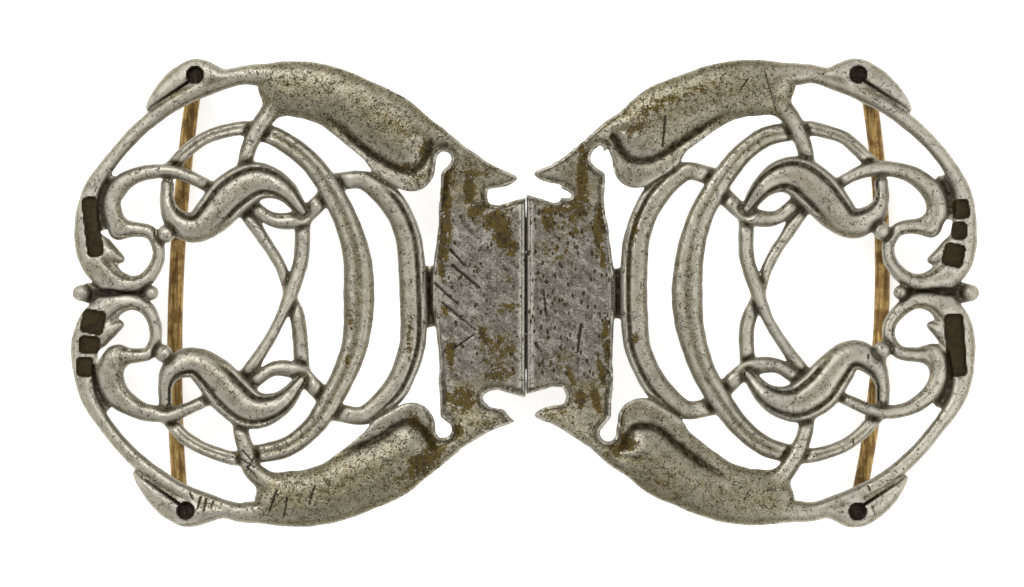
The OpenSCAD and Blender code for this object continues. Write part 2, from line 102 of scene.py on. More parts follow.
# Strand tables of the upper left quarter: [across from the seam, up from the middle, half width], and
# for the rim the crown too. The rim runs from the lobe through body and neck to the end of the curl.
RIM: Rows = [
    [13.4, 16.35, 3.95, 2.9], [15.5, 18.1, 4.05, 2.9], [18.3, 19.9, 3.66, 2.9], [21.1, 21.5, 3.3, 2.9],
    [23.9, 22.4, 3.12, 2.85], [26.6, 22.75, 2.85, 2.75], [28.4, 23.95, 1.45, 2.6], [30.2, 24.15, 1.12, 2.5],
    [32.0, 24.0, 0.98, 2.4], [34.6, 23.2, 1.0, 2.35], [37.4, 22.0, 0.92, 2.3], [40.0, 20.45, 0.86, 2.3],
    [43.3, 17.7, 0.78, 2.25], [45.95, 14.7, 0.76, 2.25], [47.9, 11.95, 0.88, 2.25], [48.65, 9.5, 1.08, 2.25],
    [48.7, 7.2, 1.35, 2.25], [48.5, 5.3, 1.5, 2.3], [47.8, 3.4, 1.55, 2.35], [46.6, 2.1, 1.5, 2.35],
    [45.3, 1.25, 1.2, 2.3], [43.6, 1.0, 0.85, 2.25], [42.0, 1.65, 0.78, 2.2], [40.9, 3.3, 0.68, 2.15],
    [40.75, 5.1, 0.65, 2.15], [41.6, 6.65, 0.7, 2.2], [43.3, 7.05, 0.78, 2.25], [45.0, 6.95, 0.92, 2.25],
]
RING: Rows = [
    [39.3, 13.9, 0.72], [37.4, 15.9, 0.7], [35.0, 17.4, 0.68], [31.7, 18.2, 0.75], [29.2, 17.8, 0.95],
    [26.6, 16.65, 1.06], [24.0, 14.6, 1.1], [22.0, 12.0, 1.2], [20.3, 8.9, 1.3], [19.2, 6.0, 1.4],
    [18.6, 3.2, 1.55], [18.5, 0.0, 1.66],
]
CRESCENT: Rows = [
    [20.9, 12.3, 0.95], [18.6, 12.55, 0.95], [17.0, 12.0, 1.15], [15.0, 10.2, 1.36], [13.75, 8.2, 1.36],
    [12.95, 5.8, 1.4], [12.65, 3.0, 1.44], [12.5, 0.0, 1.44],
]
STEM: Rows = [
    [26.6, 21.9, 1.3], [28.7, 19.6, 0.98], [30.1, 17.4, 0.88], [30.9, 15.4, 0.8], [31.15, 13.7, 0.8],
]
SCROLL: Rows = [
    [24.7, 9.0, 0.6], [26.6, 11.3, 1.2], [28.6, 12.3, 1.75], [30.5, 12.2, 2.2], [32.7, 10.8, 2.38],
    [34.4, 8.95, 2.15], [36.1, 7.45, 1.7], [37.65, 7.35, 1.55], [39.15, 8.5, 1.12], [39.75, 10.2, 0.75],
    [39.75, 12.0, 0.7],
]
LOOP: Rows = [
    [22.2, 10.7, 0.9], [23.7, 9.2, 0.88], [25.0, 8.3, 0.9], [26.6, 7.95, 0.86], [28.1, 8.15, 0.75],
    [29.35, 8.95, 0.68], [30.7, 10.1, 0.62],
]
BRACE_OUT: Rows = [
    [31.2, 9.3, 0.85], [29.2, 6.2, 0.62], [28.0, 4.4, 0.59], [27.0, 2.55, 0.58], [26.2, 0.0, 0.58],
]
BRACE_IN: Rows = [
    [24.7, 8.0, 0.8], [24.75, 5.65, 0.8], [24.85, 4.0, 0.8], [25.25, 2.3, 0.78], [26.0, 0.0, 0.74],
]
LOBE: Rows = [[14.6, 15.8, 3.3], [12.7, 13.85, 2.58]]
FOOT_GAP: Rows = [[47.6, 0.1, 0.32], [46.0, 0.1, 0.28], [44.6, 0.05, 0.13], [42.6, 0.0, 0.08]]
BRIDGE: Rows = [[12.6, 17.6, 2.4], [10.2, 17.15, 1.45], [8.4, 16.2, 0.95]]
TAIL: Rows = [
    [8.8, 16.3, 0.95], [7.0, 14.6, 1.45], [5.1, 13.2, 1.5], [3.4, 12.75, 1.08], [2.1, 12.65, 0.68],
    [1.3, 12.72, 0.27],
]
HEAD: Rows = [
    [33.6, 23.85, 0.85], [36.2, 24.25, 1.62], [38.0, 23.75, 1.48], [39.65, 22.75, 1.12], [40.9, 21.6, 0.72],
    [41.9, 20.5, 0.24],
]
SPUR: Rows = [[47.3, 4.8, 1.45], [46.0, 4.25, 0.92], [44.95, 3.8, 0.4]]
FOOT_WEB: Rows = [[48.4, 0.0, 1.1], [45.8, 0.0, 0.75], [41.5, 0.0, 0.5]]
SHOULDER: Rows = [[6.95, 12.7, 2.5], [6.85, 9.0, 2.65]]
EYE: Rows = [[36.65, 24.15, 0.93]]
BEAK: Rows = [[37.3, 23.45, 0.13], [41.6, 20.62, 0.04]]
OUTER_PELLET: Rows = [[49.4, 0.0, 0.85]]
INNER_PELLET: Rows = [[41.5, 0.0, 0.7]]
SIDE_PELLET: Rows = [[39.95, 6.55, 0.93]]

# Arch from the scroll over the curl to its heel, for each half and quarter.
ARCHES: Quarters = {
    (-1, 1): [
        [34.8, 11.6, 0.62], [37.1, 12.8, 0.68], [38.95, 13.4, 0.7], [40.8, 13.5, 0.74], [42.7, 13.2, 0.8],
        [44.2, 12.55, 0.92], [45.2, 11.6, 0.98], [45.85, 10.3, 0.92], [45.75, 8.8, 0.95], [45.25, 7.35, 0.95],
    ],
    (1, 1): [
        [34.0, 11.7, 0.58], [35.9, 12.85, 0.62], [37.6, 13.55, 0.72], [39.7, 13.8, 0.78], [41.7, 13.5, 0.84],
        [43.4, 12.75, 0.98], [44.7, 11.6, 1.1], [45.45, 10.3, 1.12], [45.55, 8.9, 1.16], [44.95, 7.75, 1.06],
    ],
    (-1, -1): [
        [34.8, 11.6, 0.6], [37.2, 12.7, 0.64], [39.1, 13.4, 0.76], [40.9, 13.4, 0.88], [42.95, 12.95, 0.98],
        [44.9, 11.7, 1.26], [45.85, 10.3, 1.4], [46.1, 8.9, 1.45], [45.7, 7.4, 1.28],
    ],
    (1, -1): [
        [34.6, 11.4, 0.58], [36.3, 12.2, 0.6], [38.1, 12.9, 0.66], [40.3, 13.2, 0.7], [42.4, 12.8, 0.74],
        [44.1, 11.8, 0.86], [45.2, 10.55, 0.92], [45.75, 9.2, 0.97], [45.7, 7.9, 1.02], [45.3, 6.95, 1.02],
    ],
}

# Deep line between arch and rim, for each half and quarter.
RECESSES: Quarters = {
    (-1, 1): [[46.3, 12.4, 0.22], [47.0, 11.0, 0.28], [47.2, 9.2, 0.2], [46.95, 7.6, 0.14]],
    (1, 1): [[46.15, 12.3, 0.25], [46.85, 10.9, 0.36], [47.1, 9.6, 0.38], [47.2, 9.0, 0.34]],
    (-1, -1): [[46.8, 12.4, 0.22], [47.5, 10.9, 0.24], [47.85, 9.4, 0.2], [48.0, 8.1, 0.16]],
    (1, -1): [[45.9, 12.0, 0.22], [46.7, 10.5, 0.3], [47.0, 8.9, 0.28], [46.75, 6.75, 0.2]],
}

# Keyhole beside the plate and slot under the tail, for each half and quarter: [across, up, radius].
KEYHOLES: Quarters = {
    (-1, 1): [[9.08, 14.82, 0.82], [9.7, 13.3, 0.38], [9.95, 11.2, 0.45], [10.6, 9.0, 0.55]],
    (1, 1): [
        [8.2, 15.95, 0.35], [7.88, 15.1, 0.72], [8.1, 14.5, 0.7], [8.95, 13.4, 0.32], [9.2, 12.4, 0.42],
        [9.1, 11.0, 0.46], [9.2, 9.2, 0.5], [9.75, 7.4, 0.6],
    ],
    (-1, -1): [
        [9.1, 15.1, 0.9], [9.72, 13.85, 0.38], [10.05, 12.8, 0.36], [10.05, 11.3, 0.46], [10.5, 9.0, 0.58],
    ],
    (1, -1): [[9.06, 15.53, 0.9], [9.71, 13.84, 0.4], [9.95, 11.48, 0.45], [10.52, 9.03, 0.55]],
}
SLOTS: Quarters = {
    (-1, 1): [[3.75, 10.68, 0.5], [2.5, 10.85, 0.5], [0.4, 11.4, 0.75], [-1.0, 11.8, 0.85]],
    (1, 1): [
        [4.75, 10.78, 0.3], [4.1, 10.98, 0.45], [3.0, 11.15, 0.55], [0.4, 11.7, 0.75], [-1.0, 12.1, 0.85],
    ],
    (-1, -1): [
        [4.15, 11.65, 0.6], [3.25, 11.66, 0.78], [2.2, 11.9, 0.82], [0.7, 12.9, 1.35], [-1.0, 13.3, 1.45],
    ],
    (1, -1): [[3.85, 11.43, 0.6], [2.5, 11.55, 0.55], [0.4, 12.01, 0.72], [-1.0, 12.34, 0.8]],
}

# Tab that holds the crescent on each half's plate.
TABS: dict[Half, Rows] = {
    Half.LEFT: [[10.7, 1.95, 1.00], [10.7, -2.75, 1.00]],
    Half.RIGHT: [[10.35, 1.70, 1.00], [10.35, -1.80, 1.00]],
}

# Groove between a swelling body and the lip inside it, for each half and quarter: [across, up].
LIP_GROOVES: Quarters = {
    (-1, 1): [
        [24.6, 20.4], [23.0, 19.9], [21.0, 18.6], [18.9, 16.75], [17.3, 15.5], [15.7, 14.5], [14.2, 13.75],
        [13.0, 13.45], [11.9, 13.8], [11.2, 14.7], [10.8, 15.7], [10.6, 16.5],
    ],
    (1, 1): [
        [24.0, 20.6], [21.8, 19.6], [19.9, 18.4], [16.8, 16.4], [14.8, 15.1], [13.4, 14.6], [11.7, 14.7],
        [10.6, 15.6], [9.7, 17.1],
    ],
    (-1, -1): [
        [24.0, 18.9], [21.8, 18.3], [19.6, 17.4], [16.2, 15.9], [14.6, 14.8], [13.2, 14.3], [12.0, 14.5],
        [10.9, 15.8], [10.3, 16.9],
    ],
    (1, -1): [
        [24.4, 21.0], [22.0, 20.2], [19.6, 18.9], [16.8, 16.8], [15.2, 15.4], [13.9, 14.8], [12.1, 14.8],
        [11.0, 15.9], [10.6, 16.9],
    ],
}

# Dark sinkings of each quarter: eye, slit of the beak and the foot of the curl, each with the height
# of its floor, the half width of its wall and its darkness.
SINKINGS = ((EYE, 1.30, 0.10, 1.0), (BEAK, 1.75, 0.10, 0.8), (FOOT_GAP, 1.05, 0.12, 0.9))

# Outline of the seam plate: [across from the seam, half length].
PLATE: Rows = [
    [0.0, 10.55], [1.5, 10.15], [3.0, 9.7], [4.8, 9.9], [9.5, 9.0], [9.85, 5.9], [10.2, 3.6], [10.4, 1.5],
]

# Easing of the other quarters: [across, up, lower left shift x2, upper right x2, lower right x2].
EASES = np.array([
    [36.6, 24.2, 1.4, -0.15, 0.2, 0.0, 0.1, 0.0],
    [41.8, 20.5, 1.5, -0.55, 0.65, -0.15, 0.2, 0.0],
    [34.0, 23.3, 0.0, 0.3, 0.0, 0.25, 0.0, 0.2],
    [45.5, 15.4, 0.6, 0.25, 0.4, 0.28, -0.1, -0.02],
    [47.8, 11.3, 0.5, 0.05, 0.25, 0.05, -0.22, 0.05],
    [48.7, 6.0, 0.5, 0.0, -0.1, 0.0, -0.3, 0.0],
    [45.8, 4.3, 0.0, -0.5, 0.1, -0.4, 0.0, -0.2],
    [40.8, 4.2, 0.4, 0.0, -0.7, 0.2, -0.65, 0.0],
    [44.5, 1.2, 0.0, 0.0, 0.0, 0.4, 0.0, -0.3],
    [42.8, 7.1, 0.1, -0.1, -0.3, 0.45, -0.2, -0.3],
    [45.9, 9.3, -0.2, 0.0, -0.3, 0.5, -0.4, 0.0],
    [42.5, 13.2, 0.0, -0.1, -0.1, 0.25, -0.1, -0.55],
    [35.0, 11.8, 0.2, 0.2, -0.6, 0.5, 0.0, -0.1],
    [38.8, 14.6, 0.4, 0.2, -0.9, 0.1, -0.3, -0.45],
    [33.9, 17.8, 0.0, 0.1, 0.0, -0.15, 0.0, -0.45],
    [30.9, 15.4, 0.75, 0.2, 0.15, 0.2, 0.05, 0.0],
    [29.0, 20.5, 1.9, 0.0, 0.6, 0.0, 0.2, 0.0],
    [37.2, 7.2, 0.2, 0.55, -0.8, 0.55, -0.6, -0.5],
    [34.8, 9.3, 0.0, 0.3, -0.3, 0.4, -0.5, -0.1],
    [39.7, 10.2, 0.25, 0.1, -0.25, 0.2, -0.25, 0.0],
    [29.2, 12.3, 0.3, 0.7, -0.3, 0.75, -0.1, -0.2],
    [26.6, 8.0, 0.0, 0.5, -0.2, 0.35, 0.0, 0.0],
    [22.6, 10.4, 0.4, 1.0, -0.4, 0.3, -0.3, 0.0],
    [29.0, 6.0, -0.1, 0.0, -0.55, 0.0, -0.4, 0.0],
    [24.8, 4.5, 0.3, 0.0, -0.45, 0.0, -0.45, 0.0],
    [26.1, 0.0, 0.0, 0.0, -0.35, 0.0, -0.35, 0.0],
    [25.4, 15.8, -0.2, 0.5, -0.3, 0.65, -0.2, 0.35],
    [20.3, 9.0, -0.2, 0.1, -0.8, 0.2, -0.6, 0.1],
    [18.5, 0.0, 0.0, 0.0, -0.7, 0.0, -0.7, 0.0],
    [18.6, 12.5, 0.0, 1.2, -0.4, 1.1, -0.3, 0.5],
    [14.8, 10.0, -0.3, 0.8, -0.6, 0.8, -0.4, 0.4],
    [12.9, 5.5, -0.4, 0.0, -0.8, 0.0, -0.75, 0.0],
    [12.5, 0.0, 0.0, 0.0, -0.6, 0.0, -0.6, 0.0],
    [26.5, 22.8, 0.0, 0.2, 0.0, 0.1, 0.0, 0.0],
    [21.0, 21.5, 0.0, 0.45, 0.0, 0.5, 0.0, 0.25],
    [16.0, 18.5, 0.1, 0.8, -0.3, 0.85, 0.0, 0.5],
    [12.8, 14.0, 0.0, 1.0, -0.4, 0.4, 0.1, 0.4],
    [9.6, 17.0, 0.1, 0.9, -0.4, 0.8, 0.0, 0.9],
    [6.5, 14.2, 0.0, 0.9, 0.0, 0.7, 0.0, 0.8],
    [2.5, 12.6, 0.0, 1.3, -0.1, 0.6, 0.0, 0.9],
    [3.0, 10.6, 0.0, 1.0, 0.1, 0.2, 0.0, 0.6],
    [9.2, 14.6, -0.1, 0.5, -1.25, 0.1, 0.0, 0.5],
    [9.5, 8.0, 0.0, 0.0, -0.6, 0.0, 0.0, 0.0],
    [49.4, 0.0, 0.0, 0.0, 0.0, 0.0, 0.0, 0.0],
    [41.5, 0.0, 0.0, 0.0, 0.0, 0.0, 0.0, 0.0],
])
EASE_REACH = 1.8
EASE_FLOOR = 0.05

# Blank sunken panels: [1 above or -1 below, across, up, width, length, turn in degrees].
PANELS: dict[Half, Rows] = {
    Half.LEFT: [
        [1, 48.05, 7.35, 1.75, 6.6, -7], [-1, 48.0, 3.2, 2.6, 2.6, -12], [-1, 48.4, 5.75, 2.3, 1.9, -5],
        [-1, 48.9, 8.2, 1.9, 2.1, 0],
    ],
    Half.RIGHT: [
        [1, 48.2, 9.3, 1.9, 2.1, 6], [1, 48.0, 6.9, 1.7, 1.9, 0], [1, 47.4, 4.2, 2.3, 2.5, -12],
        [-1, 47.6, 5.8, 2.1, 6.9, -4],
    ],
}

# Distances of the lugs from the seam, for each half and quarter.
LUG_ACROSS: dict[tuple[Half, int], float] = {
    (Half.LEFT, 1): 36.8, (Half.LEFT, -1): 38.4, (Half.RIGHT, 1): 37.9, (Half.RIGHT, -1): 36.85,
}

# Turned outline of a lug: [narrower by, up from the floor], then [narrower by, down from the head].
LUG_BASE: Rows = [[0.22, 0.0], [0.06, 0.06], [0.0, 0.22], [0.0, 2.9], [0.12, 3.8]]
LUG_HEAD: Rows = [[0.12, 1.3], [0.0, 0.8], [0.0, 0.0]]

# Waves that make the casting uneven: [radians to the millimetre along X and Y, phase, share].
WAVES: Rows = [[1.9, 0.7, 0.0, 1.0], [-1.1, 2.7, 1.3, 1.0], [4.1, 3.3, 0.4, 0.6]]

# Maps that the silver reads: share lost on buried faces, value there, value on a piece without maps.
MAPS: dict[str, Triple] = {
    "hollow": (1.0, 0.20, 0.25), "crest_wear_and_highlight": (0.5, 0.0, 0.0), "plate": (1.0, 0.0, 0.6),
    "patch": (1.0, 0.15, 0.15), "pitted": (0.0, 0.0, 0.2), "line": (1.0, 0.0, 0.0), "dark": (0.0, 0.0, 0.0),
}

# Polygons of each kind of cell: 0 to 3 are its corners in turn, 4 to 7 the crossings after each corner.
CELL_POLYGONS = {
    1: [[0, 4, 7]], 2: [[1, 5, 4]], 3: [[0, 1, 5, 7]], 4: [[2, 6, 5]], 5: [[0, 4, 7], [2, 6, 5]],
    6: [[1, 2, 6, 4]], 7: [[0, 1, 2, 6, 7]], 8: [[3, 7, 6]], 9: [[0, 4, 6, 3]],
    10: [[1, 5, 4], [3, 7, 6]], 11: [[0, 1, 5, 6, 3]], 12: [[2, 3, 7, 5]], 13: [[0, 4, 5, 2, 3]],
    14: [[1, 2, 3, 7, 4]], 15: [[0, 1, 2, 3]],
}

# Brown stains: [across, up, size across, size up, turn in degrees, strength].
STAINS: dict[Half, Rows] = {
    Half.LEFT: [
        [2.4, 5.8, 0.8, 0.9, 0, 1.3], [3.2, 8.0, 1.8, 1.1, 15, 0.9], [6.1, 12.3, 0.5, 1.9, 0, 0.9],
        [5.6, 9.6, 0.6, 1.4, 30, 0.9], [8.5, 12.3, 0.7, 1.3, 0, 0.9], [8.7, 8.4, 0.5, 2.4, 4, 0.95],
        [9.4, 3.6, 0.4, 2.2, 4, 0.9], [4.2, 13.6, 1.6, 0.7, 0, 0.5], [2.0, 1.8, 0.6, 0.6, 0, 0.6],
        [2.1, -1.6, 1.3, 0.6, 0, 0.7], [3.0, -6.3, 2.1, 2.0, 0, 0.7], [4.7, -4.7, 0.45, 1.4, 20, 1.0],
        [3.1, -8.9, 1.7, 0.9, 0, 0.8], [8.4, -6.7, 0.45, 1.7, 0, 1.0], [9.0, -1.9, 0.4, 0.7, 0, 0.8],
        [7.2, -11.8, 1.7, 1.5, 0, 0.85], [4.3, -14.0, 1.4, 0.7, 0, 0.6], [7.6, -15.2, 0.8, 1.0, 0, 0.9],
        [10.4, -17.7, 1.5, 1.0, 35, 0.9], [12.0, -20.0, 1.3, 0.6, 25, 0.8], [12.5, -14.2, 0.6, 1.2, 0, 0.8],
        [12.9, -5.2, 0.35, 2.4, 0, 0.75], [19.3, -2.8, 0.3, 1.3, 0, 0.7], [19.8, -7.4, 0.25, 1.0, 0, 0.7],
        [8.8, 10.6, 0.6, 2.2, 4, 1.1], [9.1, 6.0, 0.5, 2.6, 3, 1.1], [9.3, 2.6, 0.4, 1.4, 3, 1.0],
        [6.3, 11.2, 0.6, 1.6, 0, 1.1], [5.3, 9.3, 1.3, 0.7, 35, 1.1], [3.6, 8.2, 1.4, 0.8, 25, 1.1],
        [2.6, 6.6, 1.0, 1.5, 0, 1.2], [1.6, 5.0, 0.8, 0.9, 0, 0.9], [6.0, 13.4, 2.4, 0.7, -12, 0.55],
        [14.5, 18.9, 2.6, 0.8, -40, 0.45], [11.3, 16.0, 0.5, 1.4, -8, 0.75], [12.8, 14.1, 1.7, 0.5, 8, 0.75],
        [12.0, 12.9, 1.3, 0.5, 20, 0.7], [11.4, -18.8, 2.2, 1.2, 40, 1.0], [14.0, -21.0, 1.2, 0.7, 20, 0.6],
        [10.9, -15.7, 0.5, 1.5, 30, 1.0], [26.5, -23.0, 3.5, 1.0, 4, 0.35], [26.0, 22.6, 3.0, 1.4, 0, 0.3],
    ],
    Half.RIGHT: [
        [6.2, 15.0, 0.5, 1.8, 0, 0.9], [6.3, 10.3, 0.8, 1.5, 0, 0.9], [2.3, 8.4, 0.7, 1.1, 0, 0.9],
        [5.2, 7.3, 2.2, 1.4, 0, 0.55], [3.0, 4.6, 2.0, 1.6, 0, 0.5], [8.0, 8.4, 0.5, 1.6, 0, 0.9],
        [8.4, 3.8, 0.35, 1.3, 0, 0.8], [12.1, 7.3, 0.3, 1.7, 0, 0.8], [8.8, -4.1, 0.35, 1.3, -10, 1.1],
        [8.9, -6.4, 0.45, 1.5, 5, 1.1], [8.4, -8.9, 0.45, 1.6, 12, 1.1], [7.7, -11.6, 0.5, 1.7, 15, 1.1],
        [6.0, -11.6, 0.6, 1.2, 0, 1.1], [4.9, -9.2, 0.35, 1.6, 24, 0.9], [3.8, -7.5, 1.5, 1.5, 0, 0.45],
        [3.0, -13.3, 2.0, 0.8, 0, 0.5], [11.3, -16.6, 0.9, 0.8, 0, 1.1], [9.8, -17.4, 1.2, 0.7, 20, 0.8],
        [15.5, -21.4, 2.6, 0.5, -28, 0.5], [12.1, -5.0, 0.4, 0.7, 0, 0.9], [6.2, 12.6, 0.6, 2.6, 0, 1.15],
        [5.8, 9.4, 1.2, 1.0, 0, 1.0], [3.9, 9.2, 1.6, 0.5, 0, 0.95], [2.5, 8.0, 0.7, 1.3, 0, 1.0],
        [8.0, 7.2, 0.6, 2.4, 0, 1.05], [8.5, 4.0, 0.35, 1.4, 0, 0.9], [14.6, 20.8, 3.6, 0.8, 26, 0.65],
        [19.0, 22.6, 2.6, 0.7, 16, 0.5], [12.2, 18.2, 1.6, 0.6, 40, 0.8],
    ],
}

# Long scores: [across and up of one end, across and up of the other, strength].
SCORES: dict[Half, Rows] = {
    Half.LEFT: [
        [8.4, 4.8, 6.75, 3.0, 0.9], [8.2, 3.1, 5.1, 0.55, 1.0], [10.1, 1.1, 7.6, -1.2, 0.9],
        [9.2, -1.1, 5.6, -4.1, 0.8], [8.1, -6.2, 5.8, -4.65, 0.8], [5.65, 2.9, 5.0, 2.5, 0.7],
        [1.8, -6.6, 0.8, -7.7, 0.7], [6.5, -1.6, 6.5, -2.5, 0.6], [7.3, 8.3, 6.2, 6.5, 0.6],
        [6.2, 6.9, 5.4, 5.9, 0.6], [27.6, -21.8, 28.4, -24.2, 0.9], [26.4, -22.6, 26.8, -24.8, 0.8],
        [23.4, -21.4, 24.0, -23.4, 0.8], [21.6, -22.9, 27.8, -22.2, 0.4], [30.2, -23.4, 30.5, -24.0, 0.6],
        [36.0, -22.6, 36.4, -23.9, 0.9], [35.4, -22.8, 35.7, -24.2, 0.9], [37.2, -22.2, 36.9, -22.9, 0.8],
        [34.6, -23.1, 34.9, -23.7, 0.8], [33.6, -23.2, 33.9, -23.9, 0.6], [31.4, -17.4, 30.3, -18.6, 0.8],
        [31.5, -18.4, 30.0, -19.3, 0.8], [30.9, -19.2, 29.8, -20.4, 0.8], [30.1, -18.2, 31.0, -19.8, 0.7],
        [29.9, -17.4, 30.6, -18.0, 0.6],
    ],
    Half.RIGHT: [
        [1.9, 0.3, 2.4, -3.2, 0.8], [6.1, -3.5, 5.7, -6.6, 1.0], [5.7, -5.0, 6.1, -3.5, 0.7],
        [1.0, -5.6, 1.7, -6.5, 0.8], [1.2, -5.0, 5.8, -5.1, 0.35], [15.4, 19.5, 15.1, 16.2, 0.9],
        [26.5, 24.3, 27.6, 20.2, 0.7], [24.5, 23.7, 23.6, 22.2, 0.7], [38.3, -23.6, 38.6, -24.5, 0.7],
        [37.9, -21.4, 38.1, -22.0, 0.8], [36.2, -12.4, 36.3, -13.5, 0.7], [36.2, -16.2, 36.3, -16.9, 0.7],
        [37.9, -6.8, 37.9, -7.4, 0.8],
    ],
}

# Black spots: [across, up, size, strength].
SPOTS: dict[Half, Rows] = {
    Half.LEFT: [
        [2.4, 5.8, 0.42, 0.85], [2.9, 6.4, 0.25, 0.7], [42.8, 8.2, 0.12, 0.8], [37.3, -6.4, 0.16, 0.9],
        [34.6, -10.7, 0.3, 0.9], [5.2, -8.3, 0.16, 0.8], [22.6, 22.9, 0.16, 0.7], [26.4, 20.6, 0.14, 0.7],
    ],
    Half.RIGHT: [
        [45.6, -10.0, 0.2, 0.9], [42.0, -6.4, 0.14, 0.8], [28.6, 11.5, 0.16, 0.8], [6.8, 4.2, 0.14, 0.7],
    ],
}


def underside(across: Array | float) -> Array | float:
    """Height of the frame's underside, a shallow circle over the waist.

    Args:
        across: Distance from the seam in millimetres.

    Returns:
        Height above the floor in millimetres: rise less the square of across over twice the radius.
    """
    return FRAME_RISE - across * across / (2 * WAIST_R)


def eased(rows: Rows, half: Half, upper: int) -> Array:
    """Moves a table of the upper left quarter to where another quarter has it.

    Each row shifts by the mean of the anchors' shifts, weighted by a bell curve of its distance to
    each anchor.

    Args:
        rows: Table rows whose first two columns are across and up.
        half: Half that the rows are wanted for.
        upper: 1 for the upper quarter and -1 for the lower.

    Returns:
        The rows as an array, still in the quarter's own positive sense.
    """
    table = np.array(rows, float)
    if half is Half.LEFT and upper > 0:
        return table
    column = 2 if half is Half.LEFT else (4 if upper > 0 else 6)
    gap = table[:, None, :2] - EASES[None, :, :2]
    weight = np.exp(-(gap**2).sum(2) / (2 * EASE_REACH**2))
    table[:, :2] += weight @ EASES[:, column:column + 2] / (weight.sum(1) + EASE_FLOOR)[:, None]
    return table


def placed(rows: Rows, half: Half, upper: int) -> Array:
    """Rows of a quarter with the signs of their place on the buckle.

    Args:
        rows: Table rows of the upper left quarter.
        half: Half that the rows are wanted for.
        upper: 1 for the upper quarter and -1 for the lower.

    Returns:
        An array whose first two columns are X and Y in millimetres.
    """
    table = eased(rows, half, upper)
    table[:, 0] *= half.value
    table[:, 1] *= upper
    return table


def whole(top: Rows, bottom: Rows, half: Half) -> Array:
    """One path across a whole half, from the upper quarter's start to the lower quarter's start.

    Args:
        top: Rows of the upper quarter, ending at the middle.
        bottom: Rows of the lower quarter, ending at the middle.
        half: Half that the path is wanted for.

    Returns:
        The joined rows with the signs of their place.
    """
    return np.concatenate([placed(top, half, 1), placed(bottom, half, -1)[-2::-1]])


def spline(rows: Array, spacing: float = 0.1) -> Array:
    """Smooth curve through rows: a cubic in each span whose end slopes are half the neighbours' gap.

    Args:
        rows: Control rows, any number of columns, the first two being X and Y.
        spacing: Wanted distance between points in millimetres.

    Returns:
        Points about that far apart, with all columns carried along.
    """
    if len(rows) == 1:
        return rows.copy()
    ends = np.concatenate([2 * rows[:1] - rows[1:2], rows, 2 * rows[-1:] - rows[-2:-1]])
    a, b, c, d = ends[:-3], ends[1:-2], ends[2:-1], ends[3:]
    count = max(2, int(np.ceil(np.linalg.norm((c - b)[:, :2], axis=1).max() / spacing)))
    t = np.linspace(0, 1, count, endpoint=False)[None, :, None]
    a, b, c, d = (x[:, None, :] for x in (a, b, c, d))
    curve = 0.5 * (2 * b + t * (c - a) + t**2 * (2 * a - 5 * b + 4 * c - d) + t**3 * (3 * b - a - 3 * c + d))
    return np.concatenate([curve.reshape(-1, rows.shape[1]), rows[-1:]])


def ramp(value: Array, low: float, high: float) -> Array:
    """Smooth step from 0 at low to 1 at high: three times the square less twice the cube."""
    t = np.clip((value - low) / (high - low), 0, 1)
    return t * t * (3 - 2 * t)


def soft_max(a: Array, b: Array, blend: float) -> Array:
    """Larger of two fields, rounded where they differ by less than blend."""
    h = np.clip(1 - np.abs(a - b) / blend, 0, None)
    return np.maximum(a, b) + h * h * blend / 4


def bell(value: Array, middle: float, width: float) -> Array:
    """Bell curve of height 1 about a middle."""
    return np.exp(-(((value - middle) / width) ** 2))


def ridge(value: Array, shape: Triple) -> Array:
    """Bell-shaped rise whose shape is its height, middle and width."""
    return shape[0] * bell(value, *shape[1:])


def turned(x: Array, y: Array, degrees: float) -> tuple[Array, Array]:
    """Places measured along axes that are turned counter-clockwise.

    Args:
        x: Distance along X.
        y: Distance along Y.
        degrees: Turn of the new axes.

    Returns:
        x * cos + y * sin and y * cos - x * sin of the turn.
    """
    turn = math.radians(degrees)
    return x * math.cos(turn) + y * math.sin(turn), y * math.cos(turn) - x * math.sin(turn)


def lug_place(half: Half, up: int) -> Array:
    """X and Y of the lug behind the upper or lower head of a half, in millimetres."""
    return np.array([half.value * LUG_ACROSS[half, up], up * LUG_UP])


def blurred(values: Array, mask: Array, cells: int) -> Array:
    """Mean of a field over a square window, counting only places inside the metal.

    The window sum is the difference of running sums, taken along both axes and done twice.

    Args:
        values: Field on the grid.
        mask: 1 where there is metal, 0 elsewhere.
        cells: Half width of the window in grid cells.

    Returns:
        The smoothed field.
    """
    span = 2 * cells + 1

    def box(kept: Array) -> Array:
        """Mean over the window along both axes, one after the other.

        Args:
            kept: Field to smooth.

        Returns:
            The smoothed field.
        """
        for axis, size in enumerate(kept.shape):
            pad = [(0, 0), (0, 0)]
            pad[axis] = (cells + 1, cells)
            run = np.cumsum(np.pad(kept, pad, mode="edge"), axis=axis)
            kept = np.take(run, np.arange(span, span + size), axis) - np.take(run, np.arange(size), axis)
            kept = kept / span
        return kept

    top, weight = values * mask, mask.astype(float)
    for _ in range(2):
        top, weight = box(top), box(weight)
    return top / np.maximum(weight, 1e-4)


@dataclass(frozen=True)
class Near:
    """What the grid points in a window see of the nearest place on a path.

    gap is the distance from the strand's edge, across the signed distance from its middle, past the
    distance beyond its end, half the half width there, arc the way along it and crown its height share.
    """

    window: tuple[slice, slice]
    gap: Array
    across: Array
    past: Array
    half: Array
    arc: Array
    crown: Array
    length: float


